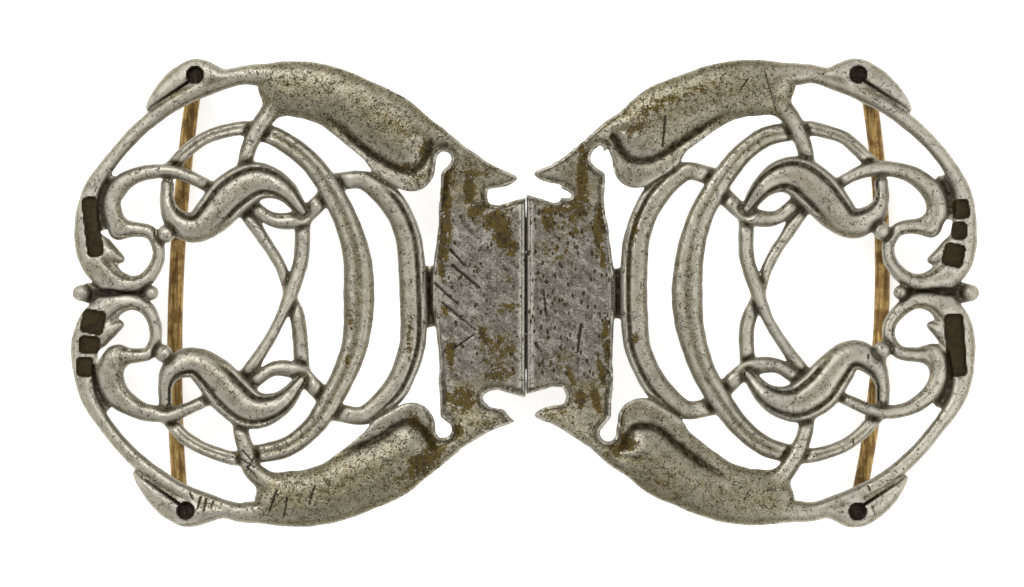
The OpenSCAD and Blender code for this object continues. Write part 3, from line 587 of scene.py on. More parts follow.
@dataclass(frozen=True)
class Profile:
    """Cross-section of a cast strand, in millimetres above the frame's underside.

    The height is crown * (edge + (1 - edge) * (1 - (1 - q) ** fullness)), where q runs from 0 at the
    outline to 1 at the middle, plus a bell-shaped rim and less a bell-shaped groove. Their places and
    widths are shares of the half width, and begin and fade are shares of the path's length.
    """

    crown: float
    edge: float = 0.6
    fullness: float = 2.8
    fillet: float = 0.35
    rim: float = 0.0
    rim_at: float = 0.25
    rim_w: float = 0.16
    groove: float = 0.0
    groove_at: float = 0.55
    groove_w: float = 0.17
    side: Edge = Edge.NONE
    begin: float = -FAR
    fade: float = FAR
    hollow: float = 0.0
    hollow_w: float = 0.45
    start: float = 1.0
    finish: float = 1.0
    tuck: float = 1.6
    side_blend: float = 0.25
    begin_run: float = 1.0
    fade_run: float = 1.5

    def over(self, near: Near) -> "Layer":
        """What the strand gives to its group.

        Args:
            near: Places round the strand's path.

        Returns:
            Its outline, half width, crown and the relief of rims and grooves.
        """
        q = np.clip(-near.gap / near.half, 0, 1)
        crown = self.crown * (self.start + (1 - self.start) * ramp(near.arc, 0, self.tuck))
        crown = crown * (self.finish + (1 - self.finish) * ramp(near.length - near.arc, 0, self.tuck))
        left = ramp(near.across / near.half, -self.side_blend, self.side_blend)
        right = (1 - left) * ramp(self.fade * near.length - near.arc, -self.fade_run, self.fade_run)
        part = {Edge.NONE: 0 * left, Edge.LEFT: left, Edge.RIGHT: right, Edge.BOTH: left + right}[self.side]
        part = part * ramp(near.arc - self.begin * near.length, -self.begin_run, self.begin_run)
        rim = self.rim * bell(q, self.rim_at, self.rim_w)
        relief = part * (rim - self.groove * bell(q, self.groove_at, self.groove_w))
        relief = relief - self.hollow * bell(near.across / near.half, 0, self.hollow_w)
        return Layer(near.window, near.gap, near.half, crown * near.crown, relief, self)


@dataclass(frozen=True)
class Layer:
    """One member of a group: its outline distance, half width, crown and relief in a window."""

    window: tuple[slice, slice]
    gap: Array
    half: Array
    crown: Array
    relief: Array
    profile: Profile


@dataclass(frozen=True)
class Strand:
    """A path of rows with the profile that is carried along it."""

    rows: Array
    profile: Profile
    turn: int = 1


@dataclass
class Sheet:
    """Fields on a half's grid: outline distance and height over the underside."""

    half: Half
    x: Array = field(init=False)
    y: Array = field(init=False)
    out: Array = field(init=False)
    high: Array = field(init=False)
    reach_x: float = 51.2
    reach_y: float = 26.6
    fillet: float = 0.35
    cut_reach: float = 3.0
    cut_round: float = 0.12
    carve_reach: float = 0.6
    batch: int = 64

    def __post_init__(self) -> None:
        """Lays out the grid, with X rising."""
        across = np.arange(0, self.reach_x, GRID)
        up = np.arange(-self.reach_y, self.reach_y + GRID, GRID)
        xs = across if self.half is Half.RIGHT else -across[::-1]
        self.x, self.y = np.meshgrid(xs, up, indexing="ij")
        self.out = np.full(self.x.shape, FAR)
        self.high = np.full(self.x.shape, -FAR)

    def nearest(self, path: Array, margin: float, swell: float = 0.0, turn: int = 1) -> Near:
        """Signed and unsigned distance of each grid point from a path.

        The nearest path point gives a normal; the signed distance is the gap's share along it.

        Args:
            path: Dense points whose third column is the half width and whose fourth may be the crown.
            margin: How far beyond the path's box the fields are worked out.
            swell: Width added to each side.
            turn: 1 where the distance across is positive to the left of travel, -1 to the right.

        Returns:
            The fields in the window round the path.
        """
        wide = path[:, 2].max() + margin
        xs, ys = self.x[:, 0], self.y[0]
        rows = slice(*np.searchsorted(xs, [path[:, 0].min() - wide, path[:, 0].max() + wide]))
        cols = slice(*np.searchsorted(ys, [path[:, 1].min() - wide, path[:, 1].max() + wide]))
        shape = self.x[rows, cols].shape
        px, py = self.x[rows, cols].ravel(), self.y[rows, cols].ravel()
        best = np.full(px.shape, np.inf)
        index = np.zeros(px.shape, int)
        width = path[:, 2]
        for first in range(0, len(path), self.batch):
            part = path[None, first:first + self.batch]
            gap = np.hypot(px[:, None] - part[:, :, 0], py[:, None] - part[:, :, 1]) - part[:, :, 2]
            at = gap.argmin(1)
            value = gap[np.arange(len(px)), at]
            better = value < best
            best[better] = value[better]
            index[better] = at[better] + first
        run, arc = np.array([[1.0, 0.0]]), np.zeros(1)
        if len(path) > 1:
            run = np.gradient(path[:, :2], axis=0)
            run /= np.linalg.norm(run, axis=1)[:, None]
            arc = np.concatenate([[0], np.cumsum(np.linalg.norm(np.diff(path[:, :2], axis=0), axis=1))])
        gx, gy = px - path[index, 0], py - path[index, 1]
        across = turn * (gy * run[index, 0] - gx * run[index, 1])
        ends = (index == 0) | (index == len(path) - 1)
        past = np.where(ends, np.abs(gx * run[index, 0] + gy * run[index, 1]), 0.0)
        crown = path[index, 3] if path.shape[1] > 3 else np.ones(px.shape)
        fields = [best - swell, across, past, width[index] + swell, arc[index], crown]
        return Near((rows, cols), *(values.reshape(shape) for values in fields), float(arc[-1]))

    def layer(self, strand: Strand) -> Layer:
        """The layer of one strand."""
        return strand.profile.over(self.nearest(spline(strand.rows), REACH, SWELL, strand.turn))

    def lay(self, strands: list[Strand], moat: float = 0.5, moat_w: float = 0.4,
            masses: tuple[Layer, ...] = ()) -> None:
        """Lays a group of strands over what is there, sinking the lower metal beside it.

        The group has one outline, with fillets where its members meet. Half width, crown, edge,
        fullness and relief at a place are the means of the members', weighted by exp(-3 * gap).

        Args:
            strands: Strands that run smoothly into each other.
            moat: Depth in millimetres by which the lower metal sinks beside the group.
            moat_w: Width of that sinking.
            masses: Further layers of the group.
        """
        out = np.full(self.x.shape, FAR)
        total = np.zeros((6, *self.x.shape))
        for layer in [*masses, *map(self.layer, strands)]:
            at = layer.window
            out[at] = -soft_max(-out[at], -layer.gap, layer.profile.fillet)
            weight = np.exp(-3 * np.clip(layer.gap, -2.5, REACH))
            values = (1.0, layer.half, layer.crown, layer.profile.edge, layer.profile.fullness, layer.relief)
            for k, value in enumerate(values):
                total[k][at] += weight * value
        half, crown, edge, fullness, relief = total[1:] / np.maximum(total[0], 1e-9)
        q = np.clip(-out / np.maximum(half, 0.05), 0, 1)
        high = crown * (edge + (1 - edge) * (1 - (1 - q) ** fullness)) + relief
        high = np.where(out > 0, crown * edge - WALL_SLOPE * out, high)
        high[total[0] == 0] = -FAR
        self.merge(out, high, moat, moat_w)

    def sink(self, share: Array, floor: float) -> None:
        """Lowers what stands above a floor, in full where the share is 1."""
        self.high += share * (np.minimum(self.high, floor) - self.high)

    def carve(self, rows: Array, floor: float, wall: float) -> Array:
        """Sinks a path of round holes to a flat floor.

        Args:
            rows: Path whose third column is the radius.
            floor: Height of the floor.
            wall: Half width of the sloping wall.

        Returns:
            Share by which each grid point lies in the sinking, on the whole grid.
        """
        near = self.nearest(spline(rows), self.carve_reach)
        share = np.zeros(self.x.shape)
        share[near.window] = ramp(-near.gap, -wall, wall)
        self.sink(share, floor)
        return share

    def merge(self, out: Array, high: Array, moat: float, moat_w: float) -> None:
        """Puts one pair of outline and height fields over the sheet's own, with a fillet between outlines.

        Args:
            out: Outline distance of the upper metal.
            high: Height of the upper metal.
            moat: Depth of the sinking beside it.
            moat_w: Width of the sinking.
        """
        sunk = self.high - moat * bell(np.clip(out, 0, None), 0, moat_w) * (self.high > 0)
        over = ramp(-out, -0.06, 0.12) * ramp(high - sunk, -0.30, 0.0)
        joined = soft_max(sunk, high, 0.1)
        self.high = joined * (1 - over) + high * over
        self.out = -soft_max(-self.out, -out, self.fillet)

    def cut(self, rows: Array) -> Array:
        """Cuts a path of round holes through the metal.

        Args:
            rows: Path whose third column is the radius.

        Returns:
            Distance from the edge of the cut, positive in the metal, on the whole grid.
        """
        gap = np.full(self.x.shape, FAR)
        near = self.nearest(spline(rows), self.cut_reach)
        gap[near.window] = near.gap
        self.out = soft_max(self.out, -gap, self.cut_round)
        return gap


@dataclass(frozen=True)
class Relief:
    """The buckle's profiles, one for each kind of strand."""

    web: Profile = Profile(crown=1.15, edge=0.8)
    brace_low: Profile = Profile(crown=1.60, edge=0.62, start=0.8, finish=0.8)
    brace_high: Profile = Profile(crown=1.95, edge=0.62, start=0.8, finish=0.8)
    loop: Profile = Profile(crown=1.95, edge=0.68, start=0.85, finish=0.8, rim=0.05, rim_at=0.2,
                            groove=0.10, groove_at=0.5, side=Edge.LEFT)
    crescent: Profile = Profile(crown=2.05, edge=0.72, fullness=3.6, start=0.8, finish=0.8, rim=0.14,
                                rim_at=0.24, rim_w=0.16, groove=0.40, groove_at=0.58, groove_w=0.15,
                                side=Edge.RIGHT, begin=0.16, fade=0.86)
    ring: Profile = Profile(crown=2.12, edge=0.70, fullness=3.6, start=0.8, finish=0.8, hollow=0.14,
                            hollow_w=0.26)
    rim: Profile = Profile(crown=1.0, edge=0.66, fullness=3.0, rim=0.12, rim_at=0.14, rim_w=0.12,
                           groove=0.26, groove_at=0.42, groove_w=0.14, side=Edge.RIGHT, begin=0.76)
    lobe: Profile = Profile(crown=2.90, edge=0.64, fullness=2.9, fillet=0.3)
    arch: Profile = Profile(crown=2.35, edge=0.68, fullness=3.4, fillet=1.0, rim=0.06, rim_at=0.16,
                            rim_w=0.12, groove=0.10, groove_at=0.42, groove_w=0.13, side=Edge.RIGHT,
                            start=0.75)
    stem: Profile = Profile(crown=2.35, edge=0.68, fillet=0.8, finish=0.85)
    head: Profile = Profile(crown=2.65, edge=0.64, finish=0.75)
    spur: Profile = Profile(crown=2.25, edge=0.66, fullness=2.6, finish=0.85, fillet=0.7)
    plate: Profile = Profile(crown=1.60, edge=0.80, fullness=4.0)
    scroll: Profile = Profile(crown=2.90, edge=0.56, fullness=2.4, rim=0.26, rim_at=0.16, rim_w=0.12,
                              groove=0.42, groove_at=0.38, groove_w=0.11, side=Edge.BOTH, fade=0.56,
                              start=0.62, finish=0.8, tuck=3.2)
    pellet: Profile = Profile(crown=2.30, edge=0.66, fullness=3.4)


@dataclass(frozen=True)
class WearAndHighlight:
    """Where dirt gathers, where metal is rubbed bright and where a highlight is painted, in millimetres and
    in cells of the grid.

    A hollow is full where the metal lies near_deep below its mean over near_cells, or wide_deep below
    the mean over wide_cells; a crest, partly rubbed wear and partly a painted highlight, is full near_high
    above the first mean, or in the rim's span.
    """

    near_cells: int = 3
    near_deep: float = 0.16
    near_high: float = 0.12
    wide_cells: int = 8
    wide_deep: float = 0.42
    inner: Pair = (0.30, 1.00)
    low: float = 1.45
    low_run: Pair = (0.0, 0.35)
    low_inner: Pair = (0.25, 0.55)
    low_share: float = 0.75
    rim: Pair = (-0.26, -0.04)
    rim_share: float = 0.9
    panel: float = 1.4
    stain: float = 0.92
    stain_fall: float = 0.6
    plate_across: float = 10.6
    plate_up: float = 10.4
    pitted_up: Pair = (12.5, 16.5)
    pitted_across: float = 34.0


@dataclass
class CastHalf:
    """One cast half of the buckle, with its lugs, as a single closed body.

    The front is a height field over the waist curve, the back follows the waist curve, and an upright
    wall joins them along the outline. A size of three numbers is the height, middle and width of a
    bell-shaped rise, and one of two is where a ramp starts and is full, or the two ends of a score.
    """

    half: Half
    relief: Relief = field(default_factory=Relief)
    wear_and_highlight: WearAndHighlight = field(default_factory=WearAndHighlight)
    sharp: float = 48.0
    lug_d: float = 2.9
    lug_head: float = 1.1
    bar_r: float = 1.0
    bar_past: float = 0.9
    plate_r: float = 0.9
    plate_rim: Triple = (0.13, 0.18, 0.15)
    plate_groove: Triple = (0.06, 0.55, 0.25)
    bridge_round: float = 0.5
    bridge_rise: float = 0.38
    bridge_run: Pair = (11.5, 17.5)
    lip_floor: float = 1.45
    lip_rise: float = 0.60
    lip_run: float = 0.30
    flank_rise: float = 1.55
    flank_run: float = 0.95
    lip_reach: float = 4.2
    lip_start: Pair = (0.0, 7.0)
    lip_end: Pair = (-0.9, 0.0)
    lip_fade: Pair = (-4.1, -3.0)
    seam_rise: Triple = (0.20, 0.55, 0.34)
    # Painted shadow along the seam: height, middle and width of the dark band.
    seam_shadow: Triple = (0.85, SEAM_EDGE, 0.13)
    hole_rim: Triple = (0.26, 0.26, 0.17)
    hole_groove: Triple = (0.16, 0.62, 0.16)
    recess_floor: float = 1.20
    recess_wall: float = 0.15
    recess_dark: float = 0.55
    border_in: float = 0.40
    border_w: float = 0.30
    border_dark: float = 0.72
    border_end: float = 11.5
    panel_floor: float = 1.75
    panel_round: float = 0.5
    panel_wall: float = 0.07
    panel_dark: float = 0.84
    panel_frame: Triple = (0.16, -0.12, 0.16)
    score_deep: float = 0.08
    score_w: Pair = (0.10, 0.06)
    score_wall: Pair = (-0.10, 0.02)
    score_soft: Pair = (-0.26, 0.08)
    uneven_high: float = 0.012
    uneven_out: float = 0.014
    lowest: float = 0.55
    highest: float = 2.98
    sheet: Sheet = field(init=False)
    dark: Array = field(init=False)
    line: Array = field(init=False)
    stamp: Array = field(init=False)

    @property
    def name(self) -> str:
        """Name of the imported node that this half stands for."""
        return f"{self.half.name.lower()}_frame"

    def quarter(self, rows: Rows, profile: Profile) -> list[Strand]:
        """The upper and the lower strand of one table."""
        return [Strand(placed(rows, self.half, up), profile, self.half.value * up) for up in (1, -1)]

    def own(self, tables: Quarters, up: int, wider: float = 0.0) -> Array:
        """Rows of a table that each quarter has of its own.

        Args:
            tables: Rows for each side and quarter.
            up: 1 for the upper quarter and -1 for the lower.
            wider: Millimetres to add to the half widths.

        Returns:
            Rows with the signs of their place.
        """
        return np.array(tables[self.half.value, up]) * [self.half.value, up, 1.0] + [0.0, 0.0, wider]

    def across(self, top: Rows, bottom: Rows, profile: Profile) -> list[Strand]:
        """One strand that runs through both quarters."""
        return [Strand(whole(top, bottom, self.half), profile, self.half.value)]

    def plate_outline(self) -> Array:
        """Outline distance of the seam plate.

        The greatest of three gaps: past the seam edge, past the side and past the end, where side and
        end run through the plate's table.

        Returns:
            The field on the grid, negative inside.
        """
        sheet = self.sheet
        across = np.abs(sheet.x)
        gaps = []
        for up in (1, -1):
            table = eased(PLATE, self.half, up)
            table[:3, 0] = [row[0] for row in PLATE[:3]]
            end = np.interp(across, table[:4, 0], table[:4, 1])
            side = np.interp(np.abs(sheet.y), table[:3:-1, 1], table[:3:-1, 0])
            gaps.append(np.maximum(np.abs(sheet.y) - end, across - side))
        gap = np.where(sheet.y > 0, gaps[0], gaps[1])
        return np.maximum(gap, SEAM_EDGE - across)

    def model(self) -> None:
        """Works out the fields of this half, lowest metal first."""
        r = self.relief
        self.sheet = sheet = Sheet(self.half)
        sheet.lay(self.across(BRACE_OUT, BRACE_IN, r.brace_low), moat=0.0)
        tab = np.array(TABS[self.half]) * [self.half.value, 1.0, 1.0]
        webs = [Strand(placed(FOOT_WEB, self.half, 1), r.web), Strand(tab, r.web)]
        sheet.lay(webs + [Strand(self.own(RECESSES, up, 0.45), r.web) for up in (1, -1)])
        sheet.lay(self.across(BRACE_IN, BRACE_OUT, r.brace_high))
        sheet.lay(self.quarter(LOOP, r.loop) + self.across(CRESCENT, CRESCENT, r.crescent))
        sheet.lay(self.across(RING, RING, r.ring))
        sheet.lay(
            self.quarter(RIM, r.rim) + self.quarter(LOBE, r.lobe)
            + [Strand(self.own(ARCHES, up), r.arch, self.half.value * up) for up in (1, -1)]
            + self.quarter(STEM, r.stem) + self.quarter(HEAD, r.head) + self.quarter(SPUR, r.spur),
            moat=0.55, masses=(self.plate(),),
        )
        for up in (1, -1):
            self.carve_lip(up)
        sheet.lay(self.quarter(SCROLL, r.scroll))
        pellets = [Strand(placed(rows, self.half, 1), r.pellet) for rows in (OUTER_PELLET, INNER_PELLET)]
        sheet.lay(pellets + self.quarter(SIDE_PELLET, r.pellet), moat=0.7, moat_w=0.35)
        self.engrave()

    def plate(self) -> Layer:
        """Layer of the seam plate with its shoulders, tails and the bridges to the bodies.

        They have one joined outline with a raised edge, and the crown grows towards the bodies.

        Returns:
            The layer on the whole grid.
        """
        sheet, profile = self.sheet, self.relief.plate
        out = self.plate_outline()
        for up in (1, -1):
            for rows in (SHOULDER, TAIL, BRIDGE):
                near = sheet.nearest(spline(placed(rows, self.half, up)), REACH, SWELL)
                out[near.window] = -soft_max(-out[near.window], -near.gap, self.bridge_round)
        crown = profile.crown * (1 + self.bridge_rise * ramp(np.abs(sheet.y), *self.bridge_run))
        edge = ridge(-out, self.plate_rim) - ridge(-out, self.plate_groove)
        return Layer((slice(None), slice(None)), out, self.plate_r + 0 * out, crown, edge, profile)

    def carve_lip(self, up: int) -> None:
        """Cuts the groove between a body and its lip.

        On each side the height is held under floor + rise * (1 - exp(-s / run)), s being the distance
        from the groove, with a rise and a run for the lip's side and others for the body's.

        Args:
            up: 1 for the upper quarter and -1 for the lower.
        """
        rows = np.array(LIP_GROOVES[self.half.value, up]) * [self.half.value, up]
        path = spline(np.concatenate([rows, 0 * rows[:, :1]], 1))
        near = self.sheet.nearest(path, self.lip_reach, 0.0, self.half.value * up)
        s = near.across
        lip = self.lip_floor + self.lip_rise * (1 - np.exp(-np.clip(s, 0, None) / self.lip_run))
        flank = self.lip_floor + self.flank_rise * (1 - np.exp(-np.clip(-s, 0, None) / self.flank_run))
        strength = ramp(near.arc, *self.lip_start) * ramp(-near.past, *self.lip_end)
        strength *= ramp(-np.abs(s), *self.lip_fade)
        high = self.sheet.high[near.window]
        held = np.minimum(high, np.where(s > 0, lip, flank))
        self.sheet.high[near.window] = high + strength * (held - high)

    def darken(self, share: Array) -> None:
        """Raises the dark map to a share where it is lower."""
        self.dark = np.maximum(self.dark, share)

    def engrave(self) -> None:
        """Opens keyhole and slot with their rims, sinks eyes, beaks and panels, paints a shadow along the
        seam, and scores the plates.
        """
        sheet = self.sheet
        across = np.abs(sheet.x)
        beside = np.abs(sheet.y) < PLATE_UP
        self.dark = np.zeros(sheet.x.shape)
        self.stamp = np.zeros(sheet.x.shape)
        sheet.high += ridge(across, self.seam_rise) * beside
        for up in (1, -1):
            for tables in (KEYHOLES, SLOTS):
                gap = sheet.cut(self.own(tables, up))
                sheet.high += ridge(gap, self.hole_rim) - ridge(gap, self.hole_groove)
            for rows, floor, wall, dark in SINKINGS:
                self.darken(dark * sheet.carve(placed(rows, self.half, up), floor, wall))
            recess = sheet.carve(self.own(RECESSES, up), self.recess_floor, self.recess_wall)
            self.darken(self.recess_dark * recess)
        # Painted shadow along the seam, where the two plates meet.
        self.darken(ridge(across, self.seam_shadow) * beside)
        border = np.abs(sheet.out + self.border_in) * np.where(across < self.border_end, 1, FAR)
        self.line = self.border_dark * np.clip(1 - border / self.border_w, 0, 1)
        self.score()
        self.sink_panels()
        wave = sum(share * np.sin(kx * sheet.x + ky * sheet.y + phase) for kx, ky, phase, share in WAVES)
        sheet.high += self.uneven_high * wave
        sheet.out += self.uneven_out * wave
        sheet.high = np.clip(sheet.high, self.lowest, self.highest)

    def sink_panels(self) -> None:
        """Sinks the blank panels: rounded rectangles with a dark frame at the foot of the wall."""
        sheet, r = self.sheet, self.panel_round
        side = self.half.value
        for up, px, py, wide, long, degrees in PANELS[self.half]:
            u, v = turned(sheet.x - side * px, sheet.y - up * py, side * up * degrees)
            u, v = np.abs(u) - wide / 2 + r, np.abs(v) - long / 2 + r
            gap = np.hypot(np.clip(u, 0, None), np.clip(v, 0, None)) + np.minimum(np.maximum(u, v), 0) - r
            inside = ramp(-gap, -self.panel_wall, self.panel_wall)
            sheet.sink(inside, self.panel_floor)
            self.darken(inside * (self.panel_dark + ridge(gap, self.panel_frame)))
            self.stamp = np.maximum(self.stamp, inside)

    def score(self) -> None:
        """Cuts the scores as fine dark grooves and darkens the black spots."""
        sheet, side = self.sheet, self.half.value
        for x0, y0, x1, y1, strength in SCORES[self.half]:
            path = np.linspace([side * x0, y0, self.score_w[0]], [side * x1, y1, self.score_w[1]], 80)
            near = sheet.nearest(path, 0.5)
            at = near.window
            self.line[at] = np.maximum(self.line[at], strength * ramp(-near.gap, *self.score_soft))
            sheet.high[at] -= self.score_deep * strength * ramp(-near.gap, *self.score_wall)
        for px, py, wide, strength in SPOTS[self.half]:
            far = np.hypot(sheet.x - side * px, sheet.y - py) / wide
            self.darken(strength * np.exp(-(far**4)))

    def crossings(self, axis: int, top: Array) -> tuple[Array, Array]:
        """Places where the outline crosses the grid's edges along one axis.

        The share of the edge before a crossing comes from the outline distances at its ends, held
        between 0.12 and 0.88. The height goes from the inner end's towards the outer end's by that
        share, with the difference held between 0.35 down and 0.05 up.

        Args:
            axis: 0 for edges along X, 1 for edges along Y.
            top: Height of the front at each grid point.

        Returns:
            Mask of the edges that are crossed, and the crossings in millimetres.
        """
        fields = np.stack([self.sheet.out, self.sheet.x, self.sheet.y, top])
        starts = np.arange(fields.shape[axis + 1] - 1)
        a, b = (np.take(fields, starts + k, axis + 1) for k in (0, 1))
        cross = (a[0] < 0) != (b[0] < 0)
        a, b = a[:, cross], b[:, cross]
        t = np.clip(a[0] / (a[0] - b[0]), 0.12, 0.88)
        within = a[0] < 0
        inner, outer = np.where(within, a[3], b[3]), np.where(within, b[3], a[3])
        z = inner + np.clip(outer - inner, -0.35, 0.05) * np.where(within, t, 1 - t)
        return cross, np.stack([a[1] * (1 - t) + b[1] * t, a[2] * (1 - t) + b[2] * t, z], 1)

    def skin(self) -> tuple[Array, list[Array]]:
        """Closed mesh of the half by marching squares.

        Corners of a grid cell are inside where the outline distance is negative; crossings lie where it
        is 0 between corners. Each of the sixteen kinds of cell gives its own polygons.

        Returns:
            Vertices in millimetres, and the faces as a list of arrays with equal corner counts.
        """
        sheet = self.sheet
        top = underside(sheet.x) + sheet.high
        inside = sheet.out < 0
        ids = np.full(inside.shape, -1)
        ids[inside] = np.arange(inside.sum())
        places, tables = [np.stack([sheet.x[inside], sheet.y[inside], top[inside]], 1)], []
        for axis in (0, 1):
            cross, points = self.crossings(axis, top)
            table = np.full(cross.shape, -1)
            table[cross] = sum(map(len, places)) + np.arange(len(points))
            tables.append(table)
            places.append(points)
        front = np.concatenate(places)
        corner = [ids[:-1, :-1], ids[1:, :-1], ids[1:, 1:], ids[:-1, 1:]]
        side = [tables[0][:, :-1], tables[1][1:, :], tables[0][:, 1:], tables[1][:-1, :]]
        slots = np.stack(corner + side, -1)
        kind = sum((numbers >= 0).astype(int) << k for k, numbers in enumerate(corner))
        faces, rims = [], []
        for code, polygons in CELL_POLYGONS.items():
            cells = slots[kind == code]
            for polygon in polygons:
                faces.append(cells[:, polygon])
                for a, b in zip(polygon, polygon[1:] + polygon[:1]):
                    if a > 3 and b > 3:
                        rims.append(cells[:, [a, b]])
        rim = np.concatenate(rims)
        behind = self.back_faces(slots, kind, ids)
        used = np.unique(np.concatenate([face.ravel() for face in behind]))
        renumbered = np.zeros(len(front), int)
        renumbered[used] = len(front) + np.arange(len(used))
        back = front[used]
        back[:, 2] = underside(back[:, 0]) + FOOT
        walls = np.stack([rim[:, 1], rim[:, 0], renumbered[rim[:, 0]], renumbered[rim[:, 1]]], 1)
        return np.concatenate([front, back]), faces + [renumbered[face[:, ::-1]] for face in behind] + [walls]

    def back_faces(self, slots: Array, kind: Array, ids: Array) -> list[Array]:
        """Faces of the smooth back, with blocks of whole cells joined into one face each.

        A block's face takes the points between its corners only on sides where the next block isn't
        whole, so that neighbours share every edge.

        Args:
            slots: Vertex numbers of each cell's corners and crossings.
            kind: Kind of each cell.
            ids: Vertex number of each grid point inside the outline.

        Returns:
            Arrays of front vertex numbers with equal corner counts.
        """
        rows, cols = kind.shape[0] // BLOCK, kind.shape[1] // BLOCK
        cells = (slice(0, rows * BLOCK), slice(0, cols * BLOCK))
        whole_block = (kind[cells] == 15).reshape(rows, BLOCK, cols, BLOCK).all(axis=(1, 3))
        loose = kind.copy()
        loose[cells][np.repeat(np.repeat(whole_block, BLOCK, 0), BLOCK, 1)] = 0
        faces = [slots[loose == code][:, polygon]
                 for code, polygons in CELL_POLYGONS.items() for polygon in polygons]
        framed = np.pad(whole_block, 1)
        beside = [framed[1:-1, :-2], framed[2:, 1:-1], framed[1:-1, 2:], framed[:-2, 1:-1]]
        code = sum((~side).astype(int) << k for k, side in enumerate(beside))
        corners = [(0, 0), (BLOCK, 0), (BLOCK, BLOCK), (0, BLOCK)]
        runs = [(1, 0), (0, 1), (-1, 0), (0, -1)]
        for split in range(16):
            i, j = np.nonzero(whole_block & (code == split))
            steps = []
            for k, ((x, y), (dx, dy)) in enumerate(zip(corners, runs)):
                steps += [(x + dx * t, y + dy * t) for t in range(BLOCK if split >> k & 1 else 1)]
            faces.append(np.stack([ids[i * BLOCK + x, j * BLOCK + y] for x, y in steps], 1))
        return faces

    def build(self) -> Body:
        """Makes the half's mesh, adds its lugs and bores the bar's holes.

        Returns:
            The finished object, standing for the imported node.
        """
        self.model()
        places, faces = self.skin()
        body = mesh_object(self.name + "_cast", places, faces)
        for part in self.posts():
            fuse(body, part, "UNION")
        fuse(body, self.bore(), "DIFFERENCE")
        return body

    def posts(self) -> list[Body]:
        """Turned lugs; each half adds its own fittings of the clasp.

        Returns:
            Closed bodies that are fused to the half.
        """
        parts, r = [], self.lug_d / 2
        for up in (1, -1):
            x, y = lug_place(self.half, up)
            head = underside(x) + self.lug_head
            profile = [[r - less, z] for less, z in LUG_BASE] + [[r - less, head - z] for less, z in LUG_HEAD]
            parts.append(lathe(f"lug_{up}", np.array(profile), (x, y, 0.0), 40))
        return parts

    def bore(self) -> Body:
        """The bar's hole through both lugs."""
        bar = BeltBar(self.half)
        return bar.rod("bore", self.bar_r, bar.reach + self.bar_past, 24)

    def maps(self) -> dict[str, Array]:
        """Maps on the grid that the finish reads.

        Hollows are where the smoothed height is above the height, or where the metal is low; crests, partly
        rubbed wear and partly a painted highlight, are the other way round, and along the rim. Stains are
        exp(-stain_fall * distance cubed).

        Returns:
            The map of each name, mostly from 0 to 1.
        """
        sheet, w = self.sheet, self.wear_and_highlight
        across, up = np.abs(sheet.x), np.abs(sheet.y)
        metal = sheet.out < 0.05
        near = blurred(sheet.high, metal, w.near_cells) - sheet.high
        wide = blurred(sheet.high, metal, w.wide_cells) - sheet.high
        inner = ramp(-sheet.out, *w.inner)
        hollow = np.clip(near / w.near_deep, 0, 1) * inner + np.clip(wide / w.wide_deep, 0, 1) * inner
        low = ramp(w.low - sheet.high, *w.low_run) * ramp(-sheet.out, *w.low_inner)
        patch = w.panel * self.stamp
        for px, py, wide_x, wide_y, degrees, strength in STAINS[self.half]:
            u, v = turned(sheet.x - self.half.value * px, sheet.y - py, degrees)
            far = (u / wide_x)**2 + (v / wide_y)**2
            patch = np.maximum(patch, w.stain * strength * np.exp(-w.stain_fall * far**1.5))
        return {
            "hollow": np.clip(np.maximum(hollow, w.low_share * low), 0, 1),
            # Crests: partly rubbed wear, partly a painted highlight on convex places and along the strands'
            # edges.
            "crest_wear_and_highlight": np.maximum(np.clip(-near / w.near_high, 0, 1), w.rim_share * ramp(sheet.out, *w.rim)),
            "plate": ramp(w.plate_across - across, 0.0, 1.5) * ramp(w.plate_up - up, 0, 1.6),
            "patch": patch,
            "pitted": ramp(up, *w.pitted_up) * ramp(w.pitted_across - across, 0.0, 6.0),
            "line": self.line,
            "dark": self.dark,
        }

    def stains(self, obj: Body) -> None:
        """Writes the maps at each vertex of the finished mesh, fainter on faces below the front.

        Args:
            obj: The half's object.
        """
        places = np.empty(len(obj.data.vertices) * 3, np.float32)
        obj.data.vertices.foreach_get("co", places)
        x, y, z = places.reshape(-1, 3).T.astype(float) / MM
        depth = underside(x) + self.sample(self.sheet.high, x, y) - z
        buried = ramp(depth, 0.12, 0.45)
        for name, field_values in self.maps().items():
            lost, there, _ = MAPS[name]
            values = self.sample(field_values, x, y) * (1 - lost * buried) + there * buried
            if name == "dark":
                values = np.where(depth > 0.8, 0, values)
            attribute = obj.data.attributes.new(name, "FLOAT", "POINT")
            attribute.data.foreach_set("value", values.astype(np.float32))

    def sample(self, values: Array, x: Array, y: Array) -> Array:
        """Bilinear reading of a field.

        Args:
            values: Field on the grid.
            x: Places along X in millimetres.
            y: Places along Y in millimetres.

        Returns:
            The field's value at each place.
        """
        xs, ys = self.sheet.x[:, 0], self.sheet.y[0]
        u = np.clip((x - xs[0]) / GRID, 0, len(xs) - 1.001)
        v = np.clip((y - ys[0]) / GRID, 0, len(ys) - 1.001)
        i, j = u.astype(int), v.astype(int)
        a, b = u - i, v - j
        return (values[i, j] * (1 - a) * (1 - b) + values[i + 1, j] * a * (1 - b)
                + values[i, j + 1] * (1 - a) * b + values[i + 1, j + 1] * a * b)


